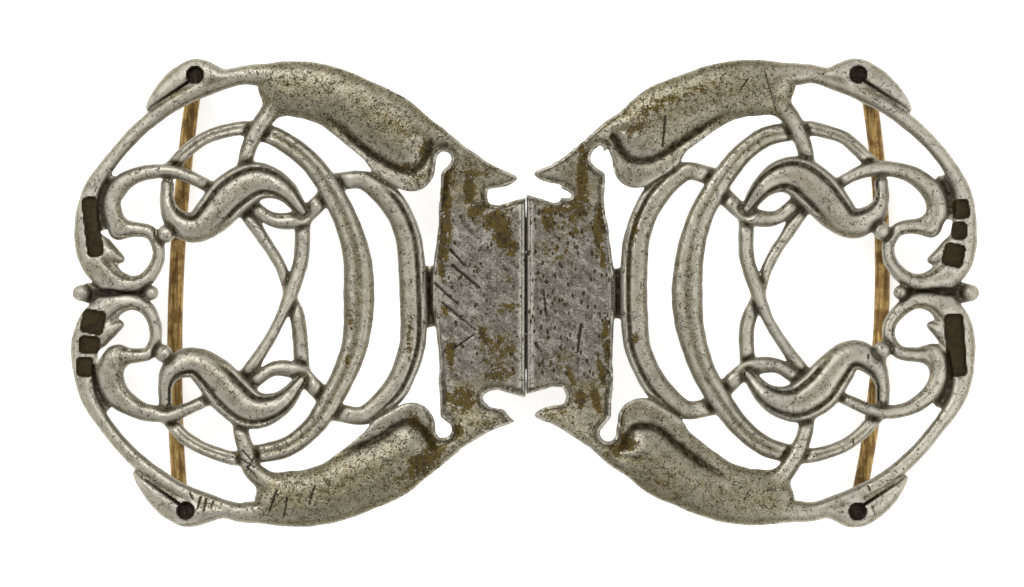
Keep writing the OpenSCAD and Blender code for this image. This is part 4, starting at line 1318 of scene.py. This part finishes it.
def mesh_object(name: str, places: Array, faces: list[Array]) -> Body:
    """Puts arrays of places and faces into a mesh object at the origin.

    Args:
        name: Name of the object and its mesh.
        places: Vertices in millimetres, one row each.
        faces: Arrays of vertex numbers, each with its own corner count.

    Returns:
        The linked object.
    """
    mesh = bpy.data.meshes.new(name)
    corners = np.concatenate([face.ravel() for face in faces]).astype(np.int32)
    counts = np.concatenate([np.full(len(face), face.shape[1]) for face in faces]).astype(np.int32)
    mesh.vertices.add(len(places))
    mesh.vertices.foreach_set("co", (places * MM).astype(np.float32).ravel())
    mesh.loops.add(len(corners))
    mesh.loops.foreach_set("vertex_index", corners)
    mesh.polygons.add(len(counts))
    mesh.polygons.foreach_set("loop_start", np.concatenate([[0], np.cumsum(counts)[:-1]]).astype(np.int32))
    mesh.update(calc_edges=True)
    mesh.validate()
    obj = bpy.data.objects.new(name, mesh)
    bpy.context.scene.collection.objects.link(obj)
    return obj


def baked(obj: Body) -> None:
    """Replaces an object's mesh with what its modifiers make of it.

    Args:
        obj: Object whose modifiers are used up.
    """
    graph = bpy.context.evaluated_depsgraph_get()
    mesh = bpy.data.meshes.new_from_object(obj.evaluated_get(graph))
    obj.modifiers.clear()
    obj.data = mesh


def fuse(obj: Body, other: Body, operation: str) -> None:
    """Joins another closed body to an object, or takes it away, and removes the other.

    Args:
        obj: Object that is changed.
        other: Object that is used up.
        operation: "UNION" or "DIFFERENCE".
    """
    modifier = obj.modifiers.new("fuse", "BOOLEAN")
    modifier.operation = operation
    modifier.solver = "MANIFOLD"
    modifier.object = other
    baked(obj)
    bpy.data.objects.remove(other)


def ring_faces(rings: int, count: int) -> list[Array]:
    """Faces of a closed skin of rings of points, with a flat cap at each end.

    Args:
        rings: Number of rings along the path.
        count: Points in each ring, counter-clockwise seen against the direction of travel.

    Returns:
        Quads between rings and the two caps.
    """
    i = np.arange(rings - 1)[:, None] * count
    k = np.arange(count)[None, :]
    after = (k + 1) % count
    quads = np.stack([i + k, i + after, i + count + after, i + count + k], -1).reshape(-1, 4)
    return [quads, np.arange(count)[None, ::-1], (rings - 1) * count + np.arange(count)[None]]


def lathe(name: str, profile: Array, centre: tuple, facets: int) -> Body:
    """Turned body: each profile point is carried round an upright axis.

    Args:
        name: Name of the object.
        profile: Rows of radius and height, rising.
        centre: X, Y and foot height of the axis.
        facets: Number of facets round.

    Returns:
        The closed object.
    """
    ring = circle(1.0, facets)
    x = centre[0] + profile[:, :1] * ring[None, :, 0]
    y = centre[1] + profile[:, :1] * ring[None, :, 1]
    z = centre[2] + profile[:, 1:] + 0 * x
    return mesh_object(name, np.stack([x, y, z], -1).reshape(-1, 3), ring_faces(len(profile), facets))


def slab(name: str, outline: Array, axis: int, ends: Pair) -> Body:
    """Closed body of one outline between two places along an axis.

    Args:
        name: Name of the object.
        outline: Rows of the other two coordinates, counter-clockwise seen from where the travel ends.
        axis: 0 where the body runs along X, 1 where it runs along Y.
        ends: Where it starts and ends along that axis.

    Returns:
        The closed object.
    """
    rings = [np.insert(outline, axis, end, axis=1) for end in ends]
    return mesh_object(name, np.concatenate(rings), ring_faces(2, len(outline)))


def carried(name: str, path: Array, section: Array, scale: Array) -> Body:
    """Closed skin of a section carried along a path.

    Each section point lies at path + scale * (u * side + v * up), where up is square to the path and as
    near to the vertical as it can be, and side is across both.

    Args:
        name: Name of the object.
        path: Points in millimetres.
        section: Rows of u and v, counter-clockwise.
        scale: One factor for each path point.

    Returns:
        The closed object.
    """
    run = np.gradient(path, axis=0)
    run /= np.linalg.norm(run, axis=1)[:, None]
    level = np.where(np.abs(run[:, 2:]) < 0.9, [[0.0, 0.0, 1.0]], [[1.0, 0.0, 0.0]])
    side = np.cross(level, run)
    side /= np.linalg.norm(side, axis=1)[:, None]
    up = np.cross(run, side)
    offset = side[:, None] * section[None, :, :1] + up[:, None] * section[None, :, 1:]
    points = path[:, None] + offset * scale[:, None, None]
    return mesh_object(name, points.reshape(-1, 3), ring_faces(len(path), len(section)))


def circle(radius: float, facets: int) -> Array:
    """Points of a circle, counter-clockwise."""
    turn = np.linspace(0, 2 * math.pi, facets, endpoint=False)
    return radius * np.stack([np.cos(turn), np.sin(turn)], 1)


@dataclass
class BeltBar:
    """Bowed wire bar that the belt passes round, a flat arc through the two lugs of one half."""

    half: Half
    sharp: float = 40.0
    radius: float = 0.85
    middle_z: float = 1.25
    reach: float = 0.75
    left_bow: float = 1.3
    right_bow: float = 2.2
    thinning: float = 0.012
    half_length: float = 23.9
    end_round: float = 0.5

    @property
    def name(self) -> str:
        """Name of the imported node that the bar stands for."""
        return f"{self.half.name.lower()}_belt_bar"

    def arc(self, reach: float, count: int) -> Array:
        """Points of the bar's middle line.

        The arc has the radius (half chord squared + bow squared) / (2 * bow), and bows away from the
        seam.

        Args:
            reach: Length beyond the lugs' axes at each end.
            count: Number of points.

        Returns:
            Points in millimetres from the lower end to the upper.
        """
        high, low = lug_place(self.half, 1), lug_place(self.half, -1)
        bow = self.left_bow if self.half is Half.LEFT else self.right_bow
        chord = np.linalg.norm(high - low) / 2
        radius = (chord**2 + bow**2) / (2 * bow)
        along = (high - low) / (2 * chord)
        out = np.array([self.half.value * abs(along[1]), -self.half.value * along[0] * np.sign(along[1])])
        limit = math.asin((chord + reach) / radius)
        turn = np.linspace(-limit, limit, count)
        centre = (high + low) / 2 + out * (bow - radius)
        flat = centre + radius * (np.cos(turn)[:, None] * out + np.sin(turn)[:, None] * along)
        return np.concatenate([flat, np.full((count, 1), self.middle_z)], 1)

    def rod(self, name: str, radius: float, reach: float, facets: int) -> Body:
        """Plain round rod along the arc.

        Args:
            name: Name of the object.
            radius: Radius of the rod.
            reach: Length beyond the lugs' axes.
            facets: Facets round the rod.

        Returns:
            The closed object.
        """
        path = self.arc(reach, 121)
        return carried(name, path, circle(radius, facets), np.ones(len(path)))

    def build(self) -> Body:
        """The drawn wire: slightly uneven in thickness, with its ends rounded off.

        Returns:
            The closed object.
        """
        path = self.arc(self.reach, 181)
        t = np.linspace(0, 1, len(path))
        wire = 1 - self.thinning * (1 + np.sin(37 * t) * np.cos(23 * t + 1.0))
        end = np.clip(np.minimum(t, 1 - t) * 2 * self.half_length / self.end_round, 0, 1)
        rounding = np.sqrt(0.25 + 0.75 * (1 - (1 - end) ** 2))
        return carried(self.name + "_wire", path, circle(self.radius, 36), wire * rounding)


@dataclass
class ClaspHook:
    """Flat strap behind both plates, pinned to the left one and turned down at the keeper of the right."""

    sharp: float = 35.0
    width: float = 9.0
    thick: float = 1.1
    corner: float = 0.3
    start: float = -8.6
    finish: float = 6.6
    gap: float = 0.3
    turned: float = 3.5
    bend: float = 0.9
    hole_r: float = 0.95
    pegs: tuple[Pair, ...] = ((-6.2, 2.8), (-6.2, -2.8))

    @property
    def name(self) -> str:
        """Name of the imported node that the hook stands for."""
        return "clasp_hook"

    @property
    def top(self) -> float:
        """Height of the strap's upper face."""
        return underside(self.start) - self.gap

    @property
    def foot(self) -> float:
        """Height of the strap's lower face."""
        return self.top - self.thick

    def build(self) -> Body:
        """Strap of rounded rectangular section, bent down through a quarter circle.

        Returns:
            The closed object, with its peg holes.
        """
        middle = self.top - self.thick / 2
        inner = self.finish - self.thick / 2
        turn = np.linspace(0, math.pi / 2, 14)
        flat = np.linspace(self.start, inner - self.bend, 30)
        x = np.concatenate([flat, inner - self.bend + self.bend * np.sin(turn[1:]), [inner] * 6])
        down = np.linspace(middle - self.bend, self.foot - self.turned, 7)[1:]
        z = np.concatenate([0 * flat + middle, middle - self.bend + self.bend * np.cos(turn[1:]), down])
        path = np.stack([x, 0 * x, z], 1)
        r, w, h = self.corner, self.width / 2, self.thick / 2
        corner = np.linspace(0, math.pi / 2, 6)
        section = np.concatenate([
            np.stack([su * (w - r) + r * np.cos(corner + a), sv * (h - r) + r * np.sin(corner + a)], 1)
            for su, sv, a in ((1, 1, 0), (-1, 1, math.pi / 2), (-1, -1, math.pi), (1, -1, 3 * math.pi / 2))
        ])
        strap = self.strap(path, section)
        hole = np.array([[self.hole_r, -3.0], [self.hole_r, 3.0]])
        for x, y in self.pegs:
            fuse(strap, lathe("peg_hole", hole, (x, y, middle), 32), "DIFFERENCE")
        return strap

    def strap(self, path: Array, section: Array) -> Body:
        """Section carried along a path in the upright plane of X, its width along Y.

        Args:
            path: Middle line in millimetres.
            section: Rows of width and thickness offsets, counter-clockwise.

        Returns:
            The closed object.
        """
        run = np.gradient(path, axis=0)
        run /= np.linalg.norm(run, axis=1)[:, None]
        side = np.array([0.0, 1.0, 0.0]) + 0 * run
        up = np.cross(run, side)
        points = path[:, None] + side[:, None] * section[None, :, :1] + up[:, None] * section[None, :, 1:]
        return mesh_object(self.name + "_strap", points.reshape(-1, 3), ring_faces(len(path), len(section)))


@dataclass
class LeftHalf(CastHalf):
    """The half that carries the hook on two pegs."""

    peg_r: float = 0.8
    peg_past: float = 0.1
    peg_in: float = 0.7
    tongue_ends: Pair = (4.56, 8.4)
    tongue: tuple[Pair, ...] = (
        (-1.5, -0.5), (1.1, -0.5), (1.1, -0.15), (-0.4, -0.15), (-0.4, 0.6), (-1.5, 0.6),
    )

    def posts(self) -> list[Body]:
        """Lugs, two stepped strips that close the seam from behind, and the two pegs of the strap.

        Each strip is soldered into the left plate, and its step lies free under the right one.

        Returns:
            Closed bodies that are fused to the half.
        """
        hook, r, parts = ClaspHook(), self.peg_r, super().posts()
        rise = FRAME_RISE + self.peg_in - hook.foot
        profile = np.array([[r - 0.2, 0.0], [r, 0.15], [r, rise]])
        for x, y in hook.pegs:
            parts.append(lathe("peg", profile, (x, y, hook.foot + self.peg_past), 28))
        section = np.array(self.tongue) + [0.0, FRAME_RISE]
        near, far = self.tongue_ends
        return parts + [slab("tongue", section, 1, ends) for ends in ((far, near), (-near, -far))]


@dataclass
class RightHalf(CastHalf):
    """The half with the keeper that the hook catches on."""

    keeper_x: float = 3.2
    keeper_w: float = 1.8
    foot_w: float = 1.4
    play: float = 0.5
    drop: float = 2.1
    keeper_t: float = 1.4
    keeper_in: float = 0.6
    keeper_round: float = 0.5

    def posts(self) -> list[Body]:
        """Lugs and the keeper: one bent strip with two feet in the plate and a bar between.

        Returns:
            Closed bodies that are fused to the half.
        """
        hook, r = ClaspHook(), self.keeper_round
        low = hook.foot - self.drop
        inner = hook.width / 2 + self.play
        outer = inner + self.foot_w
        high = FRAME_RISE + self.keeper_in
        turn = np.linspace(0, math.pi / 2, 7)
        ring = [(outer, high), *[(outer - r + r * math.cos(-t), low + r + r * math.sin(-t)) for t in turn]]
        ring += [(-y, z) for y, z in ring[::-1]]
        ring += [(-inner, high), (-inner, low + self.keeper_t), (inner, low + self.keeper_t), (inner, high)]
        ends = (self.keeper_x, self.keeper_x + self.keeper_w)
        return super().posts() + [slab("keeper", np.array(ring[::-1]), 0, ends)]


Socket = bpy.types.NodeSocket
Value = float | Socket
Colour = tuple[float, float, float, float]


class Graph:
    """Short way to lay out a material's or world's nodes."""

    def __init__(self, owner: bpy.types.Material | bpy.types.World) -> None:
        """Clears the owner's nodes.

        Args:
            owner: Material or world to fill.
        """
        owner.use_nodes = True
        self.tree = owner.node_tree
        self.tree.nodes.clear()

    def node(self, kind: str, **settings: object) -> bpy.types.Node:
        """Adds a node.

        Args:
            kind: Node type.
            settings: Properties, or inputs where the name starts with "in_"; an input is named by its
                number or its name, and a node socket is linked.

        Returns:
            The node.
        """
        node = self.tree.nodes.new(kind)
        for key, value in settings.items():
            if key.startswith("in_"):
                name = key[3:].replace("_", " ")
                socket = node.inputs[int(name)] if name.isdigit() else node.inputs[name]
                if isinstance(value, Socket):
                    self.tree.links.new(value, socket)
                else:
                    socket.default_value = value
            else:
                setattr(node, key, value)
        return node

    def math(self, operation: str, a: Value, b: Value = 0.0, clamp: bool = False) -> Socket:
        """Result of a math node on two numbers or sockets."""
        return self.node("ShaderNodeMath", operation=operation, use_clamp=clamp, in_0=a, in_1=b).outputs[0]

    def times(self, a: Value, b: Value, clamp: bool = False) -> Socket:
        """Product of two values."""
        return self.math("MULTIPLY", a, b, clamp)

    def plus(self, a: Value, b: Value) -> Socket:
        """Sum of two values."""
        return self.math("ADD", a, b)

    def less(self, a: Value, b: Value) -> Socket:
        """First value less the second."""
        return self.math("SUBTRACT", a, b)

    def most(self, a: Value, b: Value, clamp: bool = False) -> Socket:
        """Larger of two values."""
        return self.math("MAXIMUM", a, b, clamp)

    def mix(self, factor: Value, a: Colour | Socket, b: Colour | Socket) -> Socket:
        """Colour mixed from two others.

        Args:
            factor: 0 for the first colour and 1 for the second.
            a: First colour.
            b: Second colour.

        Returns:
            The mixed colour.
        """
        node = self.node("ShaderNodeMix", data_type="RGBA", clamp_factor=True)
        for name, value in (("Factor_Float", factor), ("A_Color", a), ("B_Color", b)):
            socket = next(s for s in node.inputs if s.identifier == name)
            if isinstance(value, Socket):
                self.tree.links.new(value, socket)
            else:
                socket.default_value = value
        return next(s for s in node.outputs if s.identifier == "Result_Color")

    def span(self, value: Socket, low: float, high: float, to_low: float = 0.0,
             to_high: float = 1.0) -> Socket:
        """Value smoothly carried from one range to another and held at the ends."""
        return self.node("ShaderNodeMapRange", interpolation_type="SMOOTHSTEP", in_0=value, in_1=low,
                         in_2=high, in_3=to_low, in_4=to_high).outputs[0]

    def noise(self, place: Socket, scale: float, detail: float = 3.0, rough: float = 0.55,
              output: int = 0) -> Socket:
        """Soft noise, about 0 to 1, at a number of waves to the millimetre; output 1 is its colour."""
        return self.node("ShaderNodeTexNoise", in_Vector=place, in_Scale=scale, in_Detail=detail,
                         in_Roughness=rough).outputs[output]

    def cells(self, place: Socket, scale: float, feature: str = "F1") -> Socket:
        """Distance from the nearest cell's middle or edge, at a number of cells to the millimetre."""
        return self.node("ShaderNodeTexVoronoi", feature=feature, in_Vector=place,
                         in_Scale=scale).outputs["Distance"]

    def place(self, stretch: Triple = (1.0, 1.0, 1.0), turn: float = 0.0) -> Socket:
        """Object coordinates in millimetres.

        Args:
            stretch: Factor along each axis.
            turn: Turn about Z in radians, made before the stretch.

        Returns:
            The coordinates.
        """
        coords = self.node("ShaderNodeTexCoord").outputs["Object"]
        scale = tuple(x / MM for x in stretch)
        turned_place = self.node("ShaderNodeMapping", in_Vector=coords, in_Rotation=(0, 0, turn)).outputs[0]
        return self.node("ShaderNodeMapping", in_Vector=turned_place, in_Scale=scale).outputs[0]

    def bump(self, relief: Socket, strength: float, depth: float) -> Socket:
        """Normal of a relief of some millimetres."""
        return self.node("ShaderNodeBump", in_Height=relief, in_Strength=strength,
                         in_Distance=depth * MM).outputs[0]

    def surface(self, **settings: object) -> None:
        """Ends a material in a principled shader with these inputs."""
        shader = self.node("ShaderNodeBsdfPrincipled", **settings)
        self.node("ShaderNodeOutputMaterial", in_Surface=shader.outputs[0])


@dataclass(frozen=True)
class AgedSilver:
    """Old cast silver: satin skin with clouds of tone, fine pits and scratches, tarnish in the hollows,
    crests rubbed bright and with a painted highlight, and a painted shadow along the seam.
    """

    name: str = "aged_silver"
    clean: Colour = (0.232, 0.210, 0.155, 1)
    warm: Colour = (0.190, 0.163, 0.092, 1)
    olive: Colour = (0.182, 0.153, 0.064, 1)
    steel: Colour = (0.158, 0.146, 0.124, 1)
    # Bright tone of rubbed metal, also used for the painted highlight on crests and edges.
    worn_and_highlight: Colour = (0.48, 0.455, 0.385, 1)
    grey: Colour = (0.058, 0.050, 0.034, 1)
    tarnish: Colour = (0.028, 0.017, 0.003, 1)
    rust: Colour = (0.096, 0.064, 0.008, 1)
    # Near black of pits, scratches and dark places, also used for the painted shadow along the seam.
    black_and_shadow: Colour = (0.022, 0.015, 0.008, 1)
    metal: float = 0.90
    rough: Pair = (0.36, 0.52)
    mapped: bool = True

    def material(self) -> bpy.types.Material:
        """Builds the node material.

        Returns:
            A metal whose colour, metalness and roughness follow the stored maps and noise.
        """
        material = bpy.data.materials.new(self.name)
        g = Graph(material)
        place = g.place()
        mottle = g.noise(place, 1.7, 4.0, 0.65)
        grain = g.noise(place, 6.0, 4.0, 0.8)
        maps = {
            name: g.node("ShaderNodeAttribute", attribute_name=name).outputs["Fac"] if self.mapped else plain
            for name, (_, _, plain) in MAPS.items()
        }
        patch, dark, pitted = maps["patch"], maps["dark"], maps["pitted"]
        colour = self.skin_colour(g, place, mottle, grain, maps)
        blotch = g.span(mottle, 0.28, 0.62, 0.45, 1.15)
        dirt = g.times(g.times(maps["hollow"], 0.85), blotch, clamp=True)
        colour = g.mix(dirt, colour, g.mix(g.span(mottle, 0.42, 0.62), self.grey, self.tarnish))
        rag = g.plus(g.times(mottle, 2.2), g.times(grain, 1.8))
        ragged = g.span(g.plus(patch, g.less(rag, 2.0)), 0.36, 0.62)
        stain = g.times(g.times(ragged, g.math("GREATER_THAN", patch, 0.04)), 0.93)
        rusty = g.span(g.plus(grain, mottle), 0.88, 1.08)
        colour = g.mix(stain, colour, g.mix(rusty, self.tarnish, self.rust))
        specks = g.times(g.times(self.specks(g), maps["plate"]), 0.9)
        colour = g.mix(specks, colour, self.tarnish)
        soil = g.most(stain, dirt, clamp=True)
        scratch = g.most(self.scratches(g), self.cracks(g, place, pitted))
        black = g.most(g.times(self.pits(g, place, pitted), 0.95), g.times(scratch, 0.8))
        line = g.plus(maps["line"], g.times(g.less(grain, 0.5), 0.9))
        black = g.most(black, g.span(line, 0.50, 0.70, 0.0, 0.92))
        # The dark map goes towards near black: sinkings, black spots and panels, with a painted shadow along
        # the seam.
        depth = g.times(dark, g.span(grain, 0.35, 0.65, 0.70, 1.0))
        colour = g.mix(g.most(black, depth, clamp=True), colour, self.black_and_shadow)
        metal = g.less(self.metal, g.times(g.most(soil, dark, clamp=True), 0.12))
        rough = g.plus(g.span(grain, 0.3, 0.7, *self.rough), g.times(soil, 0.22))
        relief = g.less(g.plus(g.times(grain, 0.55), g.times(mottle, 0.6)), black)
        g.surface(in_Base_Color=colour, in_Metallic=metal, in_Roughness=rough,
                  in_Normal=g.bump(relief, 0.8, 0.06))
        return material

    def skin_colour(self, g: Graph, place: Socket, mottle: Socket, grain: Socket,
                    maps: dict[str, Value]) -> Socket:
        """Colour of the bare metal: clouds of warm and grey tone, mottled and grained, bright where worn,
        with a painted highlight on crests and edges.

        Args:
            g: Graph that takes the nodes.
            place: Object coordinates in millimetres.
            mottle: Middle-sized noise.
            grain: Fine noise.
            maps: Value or socket of each map.

        Returns:
            The colour.
        """
        plate = maps["plate"]
        colour = g.mix(g.span(g.noise(place, 0.20, 3.0, 0.6), 0.38, 0.64), self.clean, self.warm)
        colour = g.mix(g.times(maps["pitted"], 0.55), colour, self.olive)
        colour = g.mix(g.times(plate, 0.85), colour, self.steel)
        for value, start, full, share, tone in (
            (mottle, 0.46, 0.70, 0.34, self.grey), (mottle, 0.48, 0.32, 0.26, self.worn_and_highlight),
            (grain, 0.51, 0.62, 0.62, self.grey), (grain, 0.48, 0.40, 0.40, self.worn_and_highlight),
        ):
            colour = g.mix(g.span(value, start, full, 0.0, share), colour, tone)
        drawn = g.noise(g.place((0.35, 1.7, 1.0), 0.6), 1.0, 4.0, 0.7)
        rubbed = g.noise(g.place((1.2, 0.30, 1.0)), 1.0, 3.0, 0.65)
        for value, start, full, share, tone in (
            (drawn, 0.51, 0.66, 0.45, self.worn_and_highlight), (drawn, 0.47, 0.36, 0.35, self.grey),
            (rubbed, 0.50, 0.66, 0.45, self.grey),
        ):
            colour = g.mix(g.times(g.span(value, start, full, 0.0, share), plate), colour, tone)
        # Painted highlight on crests and edges, partly rubbed wear: up to three quarters of the way to the
        # bright tone.
        return g.mix(g.times(maps["crest_wear_and_highlight"], 0.75), colour, self.worn_and_highlight)

    def pits(self, g: Graph, place: Socket, pitted: Value) -> Socket:
        """Casting pits of two sizes: middles of cells, kept where a broad noise or the map is high.

        Args:
            g: Graph that takes the nodes.
            place: Object coordinates in millimetres.
            pitted: Map of the pitted metal.

        Returns:
            Share from 0 to 1.
        """
        more, kinds = g.times(pitted, 0.15), []
        for scale, near, far, broad, start in ((1.3, 0.10, 0.18, 0.9, 0.50), (3.0, 0.16, 0.26, 0.7, 0.46)):
            where = g.span(g.plus(g.noise(place, broad, 2.0), more), start, start + 0.10)
            kinds.append(g.times(g.span(g.cells(place, scale), near, far, 1.0, 0.0), where))
        return g.most(kinds[0], g.times(kinds[1], 0.85))

    def specks(self, g: Graph) -> Socket:
        """Brown specks of the plates, longer along Y and more to the right: middles of drawn out cells.

        Args:
            g: Graph that takes the nodes.

        Returns:
            Share from 0 to 1.
        """
        across = g.node("ShaderNodeSeparateXYZ", in_0=g.place()).outputs["X"]
        where = g.plus(g.noise(g.place(), 0.40, 3.0), g.span(across, -1.0, 1.0, -0.07, 0.03))
        middle = g.span(g.cells(g.place((1.5, 0.85, 1.0)), 1.2), 0.24, 0.33, 1.0, 0.0)
        return g.times(middle, g.span(where, 0.42, 0.50))

    def cracks(self, g: Graph, place: Socket, pitted: Value) -> Socket:
        """Short bent cracks, most in the pitted metal: borders of bent cells, broken up by noise.

        Args:
            g: Graph that takes the nodes.
            place: Object coordinates in millimetres.
            pitted: Map of the pitted metal.

        Returns:
            Share from 0 to 1.
        """
        swirl = g.noise(place, 2.0, 2.0, 0.5, 1)
        bent = g.node("ShaderNodeVectorMath", operation="ADD", in_0=place, in_1=swirl).outputs[0]
        where = g.span(g.plus(g.noise(place, 1.5, 2.0), g.times(pitted, 0.07)), 0.55, 0.60)
        return g.times(g.span(g.cells(bent, 1.1, "DISTANCE_TO_EDGE"), 0.020, 0.055, 1.0, 0.0), where)

    def scratches(self, g: Graph) -> Socket:
        """Fine hair scratches in three directions: thin bands of long drawn noise, broken up by another.

        Args:
            g: Graph that takes the nodes.

        Returns:
            Share from 0 to 1.
        """
        total = 0.0
        for turn in (0.45, 1.25, -0.75):
            band = g.math("ABSOLUTE", g.less(g.noise(g.place((0.16, 2.6, 1.0), turn), 1.0, 1.0), 0.5))
            where = g.span(g.noise(g.place((0.5, 0.5, 0.5), turn), 1.0, 1.0), 0.56, 0.62)
            total = g.most(total, g.times(g.span(band, 0.004, 0.012, 1.0, 0.0), where))
        return total


@dataclass(frozen=True)
class GiltBrass:
    """Dull golden wire: brass with brown tarnish and lengthways drawing marks."""

    name: str = "gilt_brass"
    bright: Colour = (0.56, 0.38, 0.14, 1)
    brown: Colour = (0.160, 0.090, 0.026, 1)
    spots: Colour = (0.07, 0.05, 0.025, 1)
    metal: float = 0.8
    rough: Pair = (0.42, 0.62)

    def material(self) -> bpy.types.Material:
        """Builds the node material.

        Returns:
            A rough metal, browner in patches, with fine streaks along Y.
        """
        material = bpy.data.materials.new(self.name)
        g = Graph(material)
        place = g.place()
        streak = g.noise(g.place((3.2, 0.25, 3.2)), 1.0, 4.0, 0.6)
        patch = g.span(g.noise(place, 0.55, 4.0, 0.6), 0.38, 0.66)
        speck = g.noise(place, 4.0, 3.0)
        colour = g.mix(patch, self.bright, self.brown)
        colour = g.mix(g.span(streak, 0.42, 0.60, 0.0, 0.85), colour, self.brown)
        colour = g.mix(g.span(speck, 0.58, 0.72, 0.0, 0.7), colour, self.spots)
        relief = g.plus(streak, g.times(speck, 0.6))
        g.surface(in_Base_Color=colour, in_Metallic=self.metal,
                  in_Roughness=g.span(speck, 0.3, 0.7, *self.rough), in_Normal=g.bump(relief, 0.5, 0.05))
        return material


@dataclass
class Studio:
    """Pale floor, soft lights and the camera that looks straight down as the photograph does."""

    px_per_mm: float = 9.03
    frame_px: tuple[int, int] = (1024, 587)
    seam_px: Pair = (526.0, 293.0)
    distance: float = 2.4
    focus_z: float = 0.009
    sensor: float = 36.0
    floor_half: float = 1.5
    glow: float = 0.62
    paper: tuple[Colour, Colour] = ((0.90, 0.90, 0.895, 1), (0.93, 0.93, 0.925, 1))
    glow_colour: Colour = (1.0, 1.0, 0.99, 1)
    horizon: Colour = (1.0, 1.0, 0.99, 1)
    overhead: Colour = (0.46, 0.46, 0.47, 1)
    surround_power: float = 0.9
    clip: Pair = (0.01, 20.0)

    def floor(self) -> Body:
        """Broad floor with a faint paper grain.

        Returns:
            The floor's object.
        """
        h = self.floor_half / MM
        places = np.array([[-h, -h, 0], [h, -h, 0], [h, h, 0], [-h, h, 0]], float)
        floor = mesh_object("floor", places, [np.array([[0, 1, 2, 3]])])
        material = bpy.data.materials.new("pale_floor")
        g = Graph(material)
        shade = g.noise(g.place((0.02, 0.02, 0.02)), 1.0, 3.0)
        g.surface(in_Base_Color=g.mix(shade, *self.paper), in_Roughness=0.9,
                  in_Emission_Color=self.glow_colour, in_Emission_Strength=self.glow)
        floor.data.materials.append(material)
        return floor

    def light(self, name: str, place: tuple, size: float, power: float) -> None:
        """Square soft light that faces the buckle.

        Args:
            name: Name of the light.
            place: Where it hangs, in metres.
            size: Side in metres.
            power: Watts.
        """
        data = bpy.data.lights.new(name, "AREA")
        data.shape = "SQUARE"
        data.size = size
        data.energy = power
        lamp = bpy.data.objects.new(name, data)
        lamp.location = place
        lamp.rotation_mode = "QUATERNION"
        lamp.rotation_quaternion = (-Vector(place)).to_track_quat("-Z", "Y")
        bpy.context.scene.collection.objects.link(lamp)

    def surround(self) -> None:
        """Soft surround like a light tent: bright at the sides and darker overhead, where the camera is."""
        world = bpy.data.worlds.new("surround")
        bpy.context.scene.world = world
        g = Graph(world)
        coords = g.node("ShaderNodeTexCoord").outputs["Generated"]
        height = g.node("ShaderNodeSeparateXYZ", in_0=coords).outputs["Z"]
        shade = g.mix(g.span(height, 0.25, 1.0), self.horizon, self.overhead)
        back = g.node("ShaderNodeBackground", in_Color=shade, in_Strength=self.surround_power)
        g.node("ShaderNodeOutputWorld", in_Surface=back.outputs[0])

    def camera(self) -> None:
        """Camera over the buckle: focal length = sensor * distance / width seen at the relief."""
        px = MM / self.px_per_mm
        x = (self.frame_px[0] / 2 - self.seam_px[0]) * px
        y = (self.seam_px[1] - self.frame_px[1] / 2) * px
        data = bpy.data.cameras.new("camera")
        data.sensor_width = self.sensor
        data.lens = self.sensor * self.distance / (self.frame_px[0] * px)
        data.clip_start, data.clip_end = self.clip
        camera = bpy.data.objects.new("camera", data)
        camera.location = (x, y, self.focus_z + self.distance)
        bpy.context.scene.collection.objects.link(camera)
        bpy.context.scene.camera = camera

    def build(self) -> None:
        """Sets up floor, lights, surround and camera."""
        self.floor()
        self.light("key", (-0.30, 0.42, 0.70), 0.55, 5.0)
        self.light("fill", (0.50, -0.15, 0.55), 0.60, 2.2)
        self.surround()
        self.camera()
        bpy.context.scene.view_settings.view_transform = "Standard"


def finished(obj: Body, node: str, material: bpy.types.Material, sharp: float) -> None:
    """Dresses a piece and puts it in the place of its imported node.

    Args:
        obj: Finished piece.
        node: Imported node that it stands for.
        material: Its finish.
        sharp: Angle in degrees past which an edge stays sharp.
    """
    obj.data.materials.clear()
    obj.data.materials.append(material)
    obj.data.shade_smooth()
    obj.data.set_sharp_from_angle(angle=math.radians(sharp))
    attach(obj, "root")
    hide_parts(node)
    triangles = sum(len(face.vertices) - 2 for face in obj.data.polygons)
    LOG.info("%s: %d vertices, %d triangles", obj.name, len(obj.data.vertices), triangles)


def main() -> None:
    """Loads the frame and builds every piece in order."""
    logging.basicConfig(level=logging.INFO, format="%(message)s")
    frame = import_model()
    LOG.info("packed nodes: %s", ", ".join(sorted(frame["nodes"])))
    Studio().build()
    silver = AgedSilver().material()
    plain_silver = AgedSilver(name="aged_silver_back", mapped=False).material()
    brass = GiltBrass().material()
    for part in (LeftHalf(Half.LEFT), RightHalf(Half.RIGHT)):
        cast = part.build()
        part.stains(cast)
        finished(cast, part.name, silver, part.sharp)
    for half in Half:
        bar = BeltBar(half)
        finished(bar.build(), bar.name, brass, bar.sharp)
    hook = ClaspHook()
    finished(hook.build(), hook.name, plain_silver, hook.sharp)


if __name__ == "__main__":
    main()
